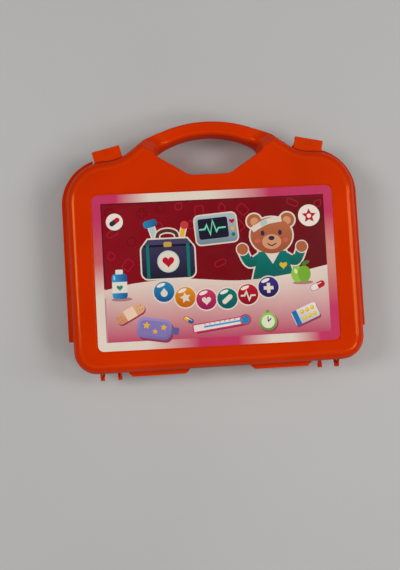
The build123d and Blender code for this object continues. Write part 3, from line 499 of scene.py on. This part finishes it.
def border(picture):
    """The shining frame: short pieces whose colour runs from pink to white and back."""
    bottom = ((WHITE, 0.0), (WHITE, 0.2), (PINK, 0.42), (PINK, 0.58),
              (WHITE, 0.72), (WHITE, 0.8), (PINK, 0.92), (PINK, 1.0))
    right = ((PINK, 0.0), (PINK, 0.22), (PALE_ROSE, 0.48), (PALE_ROSE, 0.6), (PINK, 0.82), (PINK, 1.0))
    top = ((PINK, 0.0), (PINK, 0.26), (WHITE, 0.5), (WHITE, 0.76), (PINK, 0.9), (PINK, 1.0))
    left = ((PINK, 0.0), (PINK, 0.16), (ROSE, 0.44), (WHITE, 0.66), (WHITE, 1.0))
    corners = [(-1, -1), (1, -1), (1, 1), (-1, 1)]
    inwards = ((0, BORDER), (-BORDER, 0), (0, -BORDER), (BORDER, 0))
    for number, stops in enumerate((bottom, right, top, left)):
        pair = (corners[number], corners[(number + 1) % 4])
        outer = [(c[0] * LABEL_WIDTH / 2, c[1] * LABEL_HEIGHT / 2) for c in pair]
        step_u, step_v = inwards[number]
        for (first, low), (second, high) in zip(stops, stops[1:]):
            start, end = between(outer, low), between(outer, high)
            inner = [(c[0] + step_u, c[1] + step_v) for c in (end, start)]
            picture.add([start, end, *inner], first, second, start, end)


def table_edge():
    """The wavy far edge of the table, from right to left."""
    return bend([(INNER_U, -2), (60, -9), (20, -12), (-30, -8), (-70, -10), (-INNER_U, -15)])


def grounds(picture):
    """Crimson wall over a pale table that turns pink, with a shadow under the frame."""
    u, v = INNER_U, INNER_V
    shade, lifted = (84, 2, 16), (132, 6, 28)
    table_shade, table_lifted = (186, 120, 128), (208, 140, 146)
    picture.paint(block((0, 0), (2 * u, 2 * v)), TABLE)
    picture.paint([(-u, v), *table_edge()[::-1], (u, v)], CRIMSON)
    top, wall_foot = v - 2.2, -14
    side, low_side = -u + 1.8, -u + 1.2
    across = [(-u, v), (u, v), (u, top), (-u + 1.6, top)]
    down = [(-u, v), (side, top), (side, wall_foot), (-u, wall_foot)]
    foot = [(-u, wall_foot), (low_side, wall_foot), (low_side, -v), (-u, -v)]
    picture.add(across, shade, lifted, (0, v), (0, top))
    picture.add(down, shade, lifted, (-u, 0), (side, 0))
    picture.add(foot, table_shade, table_lifted, (-u, 0), (low_side, 0))


def faint_shapes(picture):
    """Tone-on-tone outlines scattered over the crimson."""
    spots = [
        (-90, 52), (-76, 44), (-88, 34), (-72, 26), (-90, 14), (-76, 6), (-62, 50), (-60, 14),
        (-50, 40), (-46, 54), (-30, 55), (-12, 50), (-4, 22), (-14, 6), (4, 4), (14, 14),
        (8, 52), (26, 50), (30, 24), (28, 6), (70, 54), (86, 20), (92, 52), (74, 8),
        (90, 4), (66, 26), (-58, 0), (-84, -4), (-20, 38), (22, 36),
    ]
    lighter, darker = (172, 22, 48), (98, 3, 20)
    for number, place in enumerate(spots):
        tilt = 37 * number % 90 - 45
        shapes = [
            plus(place, 7.5, 2.6, tilt),
            heart(place, 4.2, tilt),
            block(place, (9.5, 4.0), 1.9, tilt),
            oval(place, 3.4),
            drop(place, 2.6, tilt),
            block(place, (6.5, 8.5), 1.0, tilt),
        ]
        shape = shapes[number % len(shapes)]
        picture.add(grown(shape, 0.75), lighter if number % 3 else darker)
        picture.paint(shape, CRIMSON)


# ---- the label's motifs, each drawn round its place -------------------------
def bag_tools(picture, place):
    """A brush and a pencil that look out of the bag."""
    u, v = place
    brush, brush_width = [(u - 9, v + 13), (u - 14, v + 30)], 4.6
    pencil, pencil_width = [(u + 11, v + 13), (u + 15, v + 27)], 3.6
    for path, width in ((brush, brush_width), (pencil, pencil_width)):
        picture.add(band(path, width + 2.2), WHITE)
    picture.add(band(brush, brush_width), SKY)
    head = block((u - 14.4, v + 31), (12, 6.4), 2.4, 14)
    picture.add(head, BLUE, (24, 92, 140), (u - 20, v), (u - 8, v))
    picture.add(band(pencil, pencil_width), YELLOW)
    picture.add(oval((u + 15.4, v + 28.6), 3.6), (200, 60, 60))


def doctor_bag(picture, place):
    """A gladstone bag with its clasp, a heart badge and tools that look out of it."""
    u, v = place
    leather, brass, seam = (86, 44, 40), (196, 160, 70), (24, 20, 38)
    bag_tools(picture, place)
    grip = bend([(u - 9, v + 14), (u - 7.5, v + 22), (u, v + 24.5), (u + 7.5, v + 22), (u + 9, v + 14)])
    picture.add(band(grip, 5.4), WHITE)
    picture.add(band(grip, 3.0), leather)
    body = block((u, v - 2), (46, 30), 5.5)
    flap = [(u - 21, v + 12), (u - 17, v + 17), (u + 17, v + 17), (u + 21, v + 12)]
    picture.add(grown(flap, OUTLINE), WHITE)
    picture.add(grown(body, OUTLINE), WHITE)
    picture.add(body, (58, 52, 86), (34, 30, 52), (u, v + 12), (u, v - 16))
    picture.add(flap, (70, 64, 100))
    picture.add(block((u, v + 11.4), (43, 2.0), 0.9), seam)
    for side in (-1, 1):
        picture.add(block((u + side * 17.5, v - 2), (2.6, 29)), TEAL)
    picture.add(oval((u, v - 2.5), 9.6), (200, 208, 204))
    picture.add(oval((u, v - 2.5), 8.2), WHITE)
    picture.add(heart((u, v - 3.2), 5.2), RED)
    picture.add(block((u, v + 12.4), (7, 4.4), 1.2), brass)


def bear_body(picture, place, torso, arms):
    """The bear's jumper, arms, paws and heart badge."""
    u, v = place
    for shape, side in zip(arms, (-1, 1)):
        picture.add(shape, TEAL, DEEP_TEAL, (u, v), (u, v - 14))
        paw = oval((u + side * 26, v + 3), 4.9)
        picture.add(grown(paw, 0.9), WHITE)
        picture.add(paw, BROWN)
    picture.add(torso, TEAL, DEEP_TEAL, (u, v), (u, v - 26))
    picture.add([(u - 7, v), (u + 7, v), (u, v - 11)], WHITE)
    picture.add(heart((u + 9, v - 13), 3.4), YELLOW)


def bear_head(picture, place, head, ears):
    """The bear's ears, face and bandage."""
    u, v = place
    for shape, side in zip(ears, (-1, 1)):
        picture.add(shape, BROWN)
        picture.add(oval((u + side * 14.2, v + 26.6), 3.6), PEACH)
    picture.add(head, (188, 108, 70), (160, 84, 52), (u, v + 30), (u, v))
    picture.add(oval((u, v + 8.4), 8.4, 6.6), PEACH)
    picture.add(oval((u, v + 11.6), 2.7, 1.9), NAVY)
    picture.add(band(bend([(u - 3.8, v + 7.0), (u, v + 5.0), (u + 3.8, v + 7.0)]), 1.0), NAVY)
    for side in (-1, 1):
        picture.add(oval((u + side * 7.6, v + 16.2), 1.7, 2.3), NAVY)
        picture.add(oval((u + side * 12.4, v + 9.6), 2.6, 1.9), (206, 96, 84))
    wrap = band(bend([(u - 16.6, v + 19.5), (u - 4, v + 26.0), (u + 9.5, v + 28.2)]), 5.0)
    picture.add(wrap, WHITE)
    picture.add(block((u - 6, v + 25.2), (6.5, 4.0), 0.8, 26), SKY)


def bear(picture, place):
    """A teddy bear with a bandaged head, in a knitted jumper."""
    u, v = place
    head = oval((u, v + 14), 18.5, 16.0)
    ears = [oval((u + side * 14.5, v + 27), 6.4) for side in (-1, 1)]
    torso = [(u - 12, v), (u + 12, v), (u + 19, v - 26), (u - 19, v - 26)]
    arms = []
    for side in (-1, 1):
        reach = bend([(u + side * 9, v - 4), (u + side * 20, v - 9), (u + side * 26, v + 2)])
        arms.append(band(reach, 8.0))
    for shape in [head, *ears, torso, *arms]:
        picture.add(grown(shape, OUTLINE), WHITE)
    bear_body(picture, place, torso, arms)
    bear_head(picture, place, head, ears)


def monitor(picture, place):
    """A pulse monitor on the wall."""
    u, v = place
    tilt, screen, trace = 4, (28, 26, 46), (120, 220, 180)
    case = block((u, v), (36, 25), 4.0, tilt)
    picture.add(grown(case, 1.2), WHITE)
    picture.add(case, (176, 190, 196), (120, 138, 150), (u, v + 12), (u, v - 12))
    picture.add(block((u - 2.5, v + 0.6), (26, 18), 2.0, tilt), screen)
    pulse = [(-14, 0), (-9, 0), (-7, 3.5), (-4.5, -5), (-1.5, 7), (1, -3), (3, 0), (9.5, 0)]
    picture.add(band(turned(pulse, (u - 1, v + 0.6), tilt), 1.4), trace)
    picture.add(heart((u + 14, v + 6), 2.4, tilt), RED)
    picture.add(oval((u + 14.4, v), 1.7), YELLOW)
    picture.add(oval((u + 14.8, v - 5.4), 1.7), TEAL)


def signs(u, v):
    """The six plain signs, each centred on its disc."""
    pulse = [(-6.5, 0), (-3.2, 0), (-1.4, 3.4), (0.8, -3.8), (2.6, 0), (6.5, 0)]
    return [
        drop((u, v - 1.4), 3.0),
        star((u, v - 0.4), 5.0, 10),
        heart((u, v - 1.4), 4.0),
        block((u, v - 0.6), (10.5, 4.2), 2.1, 40),
        band(turned(pulse, (u, v - 1)), 1.5),
        plus((u, v - 0.8), 8.6, 3.0),
    ]


def discs(picture):
    """A cheerful arc of six coloured discs with plain signs on them."""
    first_u, step, lowest, rise = -46, 18.2, -27.5, 0.0042
    tones = [
        (BLUE, (20, 84, 140)),
        (ORANGE, (190, 96, 16)),
        (PINK, (150, 24, 80)),
        (TEAL, (4, 84, 90)),
        (RED, (136, 8, 28)),
        ((58, 44, 128), (34, 24, 84)),
    ]
    for number, (light, dark) in enumerate(tones):
        u = first_u + step * number
        v = lowest + rise * u ** 2
        picture.add(oval((u, v), 10.0), WHITE)
        picture.add(oval((u, v), 8.9), light, dark, (u, v + 7), (u, v - 8))
        picture.add(oval((u - 2.5, v + 5.8), 3.9, 1.5, 20), (238, 226, 220))
        picture.add(signs(u, v)[number], WHITE)


def plaster(picture, place, degrees):
    """A sticking plaster with its pad and air holes."""
    u, v = place
    length, width, corner = 27, 9.5, 4.4
    picture.add(block((u + 0.8, v - 1.2), (length, width), corner, degrees), (150, 52, 76))
    strip = block(place, (length, width), corner, degrees)
    picture.add(strip, (226, 172, 134), (206, 142, 108), (u, v + 4), (u, v - 5))
    picture.add(block(place, (width, width), 0.0, degrees), (238, 206, 180))
    for end in (-1, 1):
        for side in (-1, 1):
            for row in (0, 1):
                hole = spot_at((8.5 + 2.6 * row) * end, 1.7 * side, place, degrees)
                picture.add(oval(hole, 0.55, count=8), (176, 110, 84))


def apple(picture, place):
    """A green apple with a leaf."""
    u, v = place
    stalk, leaf, glint = (90, 56, 36), (64, 128, 52), (222, 232, 180)
    picture.add(oval((u + 1.5, v - 7.6), 9.0, 1.6), TABLE_SHADOW)
    picture.add(band(bend([(u, v + 5), (u + 0.6, v + 8.5), (u + 2.4, v + 10.5)]), 1.2), stalk)
    picture.add(oval((u + 4.6, v + 9.6), 3.6, 1.6, 24), leaf)
    for side, skin in ((-1, (146, 196, 70)), (1, (118, 172, 50))):
        picture.add(oval((u + side * 3.0, v), 5.6, 7.2), skin)
    picture.add(oval((u - 4.4, v + 2.6), 1.4, 2.2, 20), glint)


def syrup(picture, place):
    """A blue bottle of syrup with a heart on its band."""
    u, v = place
    cap, paper, glint = (222, 222, 214), (228, 222, 208), (150, 206, 230)
    picture.add(oval((u + 1.5, v - 11.4), 9.0, 1.7), TABLE_SHADOW)
    picture.add(block((u, v), (13, 22), 3.2), (56, 148, 200), (18, 84, 152), (u - 6, v), (u + 6, v))
    picture.add(block((u, v + 12.4), (6.4, 4.0), 0.8), cap)
    picture.add(block((u, v - 1), (13, 9.6)), paper)
    picture.add(heart((u, v - 1.6), 2.7), (40, 132, 110))
    picture.add(block((u - 4.4, v + 7.4), (1.5, 4.0), 0.7), glint)


def thermometer(picture, place, degrees):
    """A toy thermometer with a round pink end."""
    def stroke(start, end, width):
        return band(turned([start, end], place, degrees), width)

    body = stroke((-24, 0), (20, 0), 5.6)
    picture.add(stroke((-22, -1.4), (20, -1.4), 7.0), (158, 48, 84))
    picture.add(grown(body, 0.9), PINK)
    picture.add(body, (232, 222, 214))
    tip = spot_at(21.5, 0, place, degrees)
    picture.add(oval(tip, 4.9), PINK)
    picture.add(oval(tip, 3.6), BLUE)
    picture.add(stroke((-15, 0), (19, 0), 1.5), (60, 150, 200))
    for i in range(7):
        u = -14 + 4.4 * i
        picture.add(stroke((u, 1.4), (u, 2.7), 0.6), NAVY)


def capsule(picture, place, length, width, degrees, first, second):
    """A two-coloured capsule; its corners stay just short of half circles."""
    corner = width / 2 - 0.01
    shape = block(place, (length, width), corner, degrees)
    picture.add(grown(shape, 0.35), (140, 50, 74))
    picture.add(shape, first)
    half = turned(block((length / 4, 0), (length / 2, width), corner), place, degrees)
    picture.add(half, second)
    square = spot_at(length / 8, 0, place, degrees)
    picture.add(block(square, (length / 4, width), 0, degrees), second)
    glint = turned([(-length / 3, width / 4), (length / 3, width / 4)], place, degrees)
    picture.add(band(glint, width / 7), (240, 232, 226))


def water_bottle(picture, place, degrees):
    """A lilac hot-water bottle with yellow stars."""
    u, v = place
    neck, light, dark, panel = (104, 92, 148), (154, 142, 196), (118, 104, 164), (132, 118, 178)
    picture.add(block((u + 1.4, v - 2.2), (30, 18), 6, degrees), (146, 54, 90))
    picture.add(block(spot_at(17.5, 0, place, degrees), (8, 6.5), 1.2, degrees), neck)
    picture.add(block(place, (30, 18), 6, degrees), light, dark, (u, v + 9), (u, v - 9))
    picture.add(block(place, (25, 13), 4, degrees), panel)
    for along, across, radius in ((-7, 2, 3.4), (1, -2.4, 2.6), (8, 2, 3.0)):
        picture.add(star(spot_at(along, across, place, degrees), radius, degrees), YELLOW)


def tablets(picture, place, degrees):
    """A card of tablets."""
    u, v = place
    length, width = 23, 13
    picture.add(block((u + 1, v - 1.6), (length, width), 1.8, degrees), (150, 60, 84))
    card = block(place, (length, width), 1.8, degrees)
    picture.add(card, (226, 228, 226), (180, 190, 196), (u, v + 6), (u, v - 6))
    picture.add(block(spot_at(-8.5, 0, place, degrees), (4.4, width), 0.4, degrees), (30, 110, 176))
    for column in range(3):
        for side in (-1, 1):
            spot = spot_at(-2.0 + 4.8 * column, 2.8 * side, place, degrees)
            picture.add(oval(spot, 2.0, count=14), (236, 184, 40))
            picture.add(oval((spot[0] - 0.5, spot[1] + 0.6), 0.7, count=8), (246, 228, 160))


def stopwatch(picture, place):
    """A green stopwatch with two hands."""
    u, v = place
    picture.add(oval((u + 0.8, v - 1.2), 8.2), (160, 64, 88))
    picture.add(block((u, v + 8.6), (3.0, 3.4), 0.8), (110, 160, 60))
    picture.add(oval((u, v), 7.8), (150, 200, 90), (100, 150, 50), (u, v + 7), (u, v - 7))
    picture.add(oval((u, v), 5.8), (222, 230, 200))
    picture.add(band([(u, v), (u + 2.8, v + 2.6)], 1.0), NAVY)
    picture.add(band([(u, v), (u, v + 4.4)], 0.8), NAVY)


def badges(picture):
    """Two pale round spots, with a star and a capsule."""
    star_place, pill_place, tilt = (84, 42), (-86, 44), 35
    for place, radius in ((star_place, 9.6), (pill_place, 7.4)):
        picture.add(oval((place[0] + 0.7, place[1] - 1.0), radius), (92, 3, 18))
        picture.add(oval(place, radius), CREAM)
    middle = (star_place[0], star_place[1] - 0.4)
    picture.add(star(middle, 6.6), RED)
    picture.add(oval(middle, 1.9, count=16), CREAM)
    picture.add(block(pill_place, (10, 4.2), 2.0, tilt), NAVY)
    picture.add(block(spot_at(2.4, 0, pill_place, tilt), (4.4, 4.2), 1.6, tilt), RED)


def label_picture():
    """Everything on the label, from the ground up."""
    picture = Picture()
    picture.add(block((0, 0), (LABEL_WIDTH, LABEL_HEIGHT), LABEL_CORNER), PINK)
    border(picture)
    grounds(picture)
    faint_shapes(picture)
    monitor(picture, place=(2, 34))
    bear(picture, place=(50, 12))
    doctor_bag(picture, place=(-41, 10))
    picture.paint(table_edge() + [(-INNER_U, -22), (INNER_U, -22)], TABLE)
    apple(picture, place=(74, -9))
    syrup(picture, place=(-84, -12))
    capsule(picture, (88, -20), length=13, width=5.0, degrees=24, first=(232, 222, 216), second=RED)
    plaster(picture, (-76, -36), degrees=28)
    water_bottle(picture, (-56, -50), degrees=-10)
    thermometer(picture, (2, -49), degrees=7)
    capsule(picture, (-26, -44), length=9, width=3.6, degrees=-30, first=YELLOW, second=(36, 92, 156))
    stopwatch(picture, place=(43, -49))
    tablets(picture, (76, -44), degrees=22)
    discs(picture)
    badges(picture)
    return picture


# ---- printed sheets ---------------------------------------------------------
def add_top(form, picture, placing):
    """The sheet's painted face; returns its corners and, for each, its place on the underside."""
    spots, faces = picture.sheet()
    layer = form.loops.layers.float_color.new("ink")
    corners = [form.verts.new(placing(u, v, 1.0)) for u, v in spots]
    for face, owner in faces:
        made = form.faces.new([corners[i] for i in face])
        for loop, i in zip(made.loops, face):
            loop[layer] = (*picture.inks[owner](*spots[i]), 1.0)
    return corners, [placing(u, v, 0.0) for u, v in spots]


def add_back(form, corners, below):
    """The sheet's rim and its underside, in plain paper white."""
    painted = list(form.faces)
    under = {corner: form.verts.new(place) for corner, place in zip(corners, below)}
    for edge in [edge for edge in form.edges if edge.is_boundary]:
        first, second = edge.verts
        if edge.link_loops[0].vert is not first:
            first, second = second, first
        form.faces.new([second, first, under[first], under[second]])
    for face in painted:
        form.faces.new([under[corner] for corner in reversed(face.verts)])
    form.faces.ensure_lookup_table()
    layer = form.loops.layers.float_color["ink"]
    for face in form.faces[len(painted):]:
        for loop in face.loops:
            loop[layer] = rgba(WHITE)


def printed(name, picture, placing, body, ink):
    """A thin printed sheet: placing gives a point's place at a share of the sheet's thickness."""
    form = bmesh.new()
    corners, below = add_top(form, picture, placing)
    add_back(form, corners, below)
    mesh = bpy.data.meshes.new(name)
    form.to_mesh(mesh)
    form.free()
    sheet = bpy.data.objects.new(name, mesh)
    bpy.context.scene.collection.objects.link(sheet)
    mesh.materials.append(ink)
    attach(sheet, body)
    return sheet


def label(ink):
    """The label in the front shell's recess."""
    low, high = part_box("front_label")
    middle = ((low[0] + high[0]) / 2, (low[1] + high[1]) / 2)

    def placing(u, v, share):
        x, y = spot_at(u * MM, v * MM, middle, LABEL_TURN)
        return x, y, low[2] + (high[2] - low[2]) * share
    sheet = printed("printed_label", label_picture(), placing, "lid", ink)
    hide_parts("front_label")


def around(node, start, radius):
    """Placing for a print wrapped over a round toy that lies along X: u along it, v round it."""
    low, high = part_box(node)
    axis_y, axis_z = (low[1] + high[1]) / 2, (low[2] + high[2]) / 2

    def placing(u, v, share):
        reach = (radius + PRINT_THICK * (share - 0.5)) * MM
        turn = v / radius
        return low[0] + (start + u) * MM, axis_y - reach * math.sin(turn), axis_z + reach * math.cos(turn)
    return placing


def rows(picture, size, colour):
    """A sheet's ground, in narrow rows so that it can follow a round toy."""
    width, height = size
    picture.paint(block((width / 2, 0), (width, height)), flat(colour))
    count = math.ceil(height / 2)
    step = height / count
    for i in range(count):
        picture.paint(block((width / 2, (i + 0.5) * step - height / 2), (width, step)), flat(colour))


def syringe_scale():
    """Dose marks round the syringe's barrel, without numbers."""
    picture = Picture()
    rows(picture, [side + SCALE_RIM for side in SCALE_SIZE], MARKED)
    rows(picture, SCALE_SIZE, TOY_WHITE)
    for i in range(11):
        shift, length = (0, 7.0) if i % 5 == 0 else (-1.4, 4.2)
        picture.add(block((1.7 + 4 * i, shift), (0.7, length)), MARKED)
    return picture


def medicine_picture():
    """A bottle's band with leaf-green edges and a heart."""
    picture = Picture()
    width, height = MEDICINE_SIZE
    edge = 2.4
    rows(picture, MEDICINE_SIZE, BAND_WHITE)
    for u in (edge / 2, width - edge / 2):
        picture.add(block((u, 0), (edge, height)), (96, 168, 84))
    picture.add(heart((width / 2, 0), 4.6, 90), (206, 44, 60))
    return picture


def pill_picture():
    """A pill bottle's violet band with two pale capsules."""
    picture = Picture()
    rows(picture, PILL_SIZE, VIOLET)
    for v, colour in ((4.2, PINK), (-4.2, BLUE)):
        middle = (PILL_SIZE[0] / 2, v)
        capsule(picture, middle, length=8, width=3.6, degrees=20, first=PILL_WHITE, second=colour)
    return picture


def thermometer_picture():
    """The thermometer's scale: a pale window, a red thread and marks."""
    picture = Picture()
    picture.add(block((0, 0), (5.2, 42), 1.2), (70, 120, 170))
    picture.add(block((0, 0), WINDOW_SIZE, 0.9), (214, 228, 236))
    picture.add(block((-0.7, -6.5), (0.9, 27)), RED)
    for i in range(15):
        length = 1.9 if i % 5 else 2.1
        picture.add(block((1.2, -19 + 2.7 * i), (length, 0.4)), NAVY)
    return picture


def toy_prints(ink):
    """The small prints on the toys inside."""
    barrel = around("syringe_barrel", SYRINGE_START, SYRINGE_RADIUS)
    medicine = around("medicine_bottle", MEDICINE_START, MEDICINE_RADIUS)
    pills = around("pill_bottle", PILL_START, PILL_RADIUS)
    printed("syringe_scale", syringe_scale(), barrel, "back", ink)
    printed("medicine_band", medicine_picture(), medicine, "back", ink)
    printed("pill_band", pill_picture(), pills, "back", ink)
    low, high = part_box("thermometer")
    middle = ((low[0] + high[0]) / 2, (low[1] + high[1]) / 2)

    def placing(u, v, share):
        lift = PRINT_THICK * (share - 0.5) * MM
        return middle[0] + u * MM, middle[1] + (v + SCALE_SHIFT) * MM, high[2] + lift
    printed("thermometer_scale", thermometer_picture(), placing, "back", ink)


# ---- room -------------------------------------------------------------------
def lay_floor():
    """A plain pale floor."""
    half = FLOOR_SIZE / 2
    mesh = bpy.data.meshes.new("floor")
    corners = [(-half, -half, 0), (half, -half, 0), (half, half, 0), (-half, half, 0)]
    mesh.from_pydata(corners, [], [(0, 1, 2, 3)])
    floor = bpy.data.objects.new("floor", mesh)
    bpy.context.scene.collection.objects.link(floor)
    shader = Shader("floor")
    clouded = shader.shade(FLOOR_GREY, shader.noise(scale=3.0, detail=3.0), low=0.97, high=1.03)
    shader.feed(clouded, "Base Color")
    shader.set(roughness=0.6)
    mesh.materials.append(shader.material)


def sky_ring(tree, height):
    """Brightness of the surround by height: straight runs through SKY_STEPS."""
    ring = tree.nodes.new("ShaderNodeFloatCurve")
    curve = ring.mapping.curves[0]
    curve.points[0].location = (0.0, SKY_STEPS[0][1] / SKY_PEAK)
    curve.points[1].location = (1.0, SKY_STEPS[-1][1] / SKY_PEAK)
    for step, strength in SKY_STEPS[1:]:
        curve.points.new(step, strength / SKY_PEAK)
    for point in curve.points:
        point.handle_type = "VECTOR"
    ring.mapping.update()
    tree.links.new(height, ring.inputs["Value"])
    return ring.outputs["Value"]


def surround():
    """A soft sky: dim near the floor, bright in a ring high up, dark straight above."""
    world = bpy.data.worlds.new("surround")
    world.use_nodes = True
    tree = world.node_tree
    sky = tree.nodes["Background"]
    sky.inputs["Color"].default_value = rgba(SKY_WHITE)
    towards = tree.nodes.new("ShaderNodeTexCoord").outputs["Generated"]
    parts = tree.nodes.new("ShaderNodeSeparateXYZ")
    tree.links.new(towards, parts.inputs["Vector"])
    ring = sky_ring(tree, parts.outputs["Z"])
    strengths = [share * SKY_PEAK for share in SKY_LEAN]
    lean = mapped(tree, parts.outputs["Y"], (-SKY_LEAN_REACH, SKY_LEAN_REACH, *strengths))
    tree.links.new(reckoned(tree, "MULTIPLY", ring, lean), sky.inputs["Strength"])
    bpy.context.scene.world = world


def lamp(name, place, size, power):
    """A soft rectangular lamp that faces the case."""
    data = bpy.data.lights.new(name, "AREA")
    data.shape = "RECTANGLE"
    data.size, data.size_y = size
    data.energy = power
    data.color = linear(LAMP_WHITE)
    lit = bpy.data.objects.new(name, data)
    bpy.context.scene.collection.objects.link(lit)
    lit.location = place
    lit.rotation_euler = (Vector(LAMP_AIM) - Vector(place)).to_track_quat("-Z", "Y").to_euler()


def camera():
    """The photograph's viewpoint, nearly straight above the case."""
    data = bpy.data.cameras.new("camera")
    data.lens = CAMERA_LENS
    data.sensor_width = SENSOR
    data.sensor_fit = "AUTO"
    data.clip_start, data.clip_end = NEAREST, FARTHEST
    eye = bpy.data.objects.new("camera", data)
    bpy.context.scene.collection.objects.link(eye)
    eye.location = CAMERA_PLACE
    eye.rotation_euler = [math.radians(turn) for turn in CAMERA_TURN]
    bpy.context.scene.camera = eye


dress_nodes()
INK = label_ink()
label(INK)
toy_prints(INK)
lay_floor()
surround()
for name, settings in LAMPS.items():
    lamp(name, *settings)
camera()
bpy.context.scene.view_settings.view_transform = "Standard"
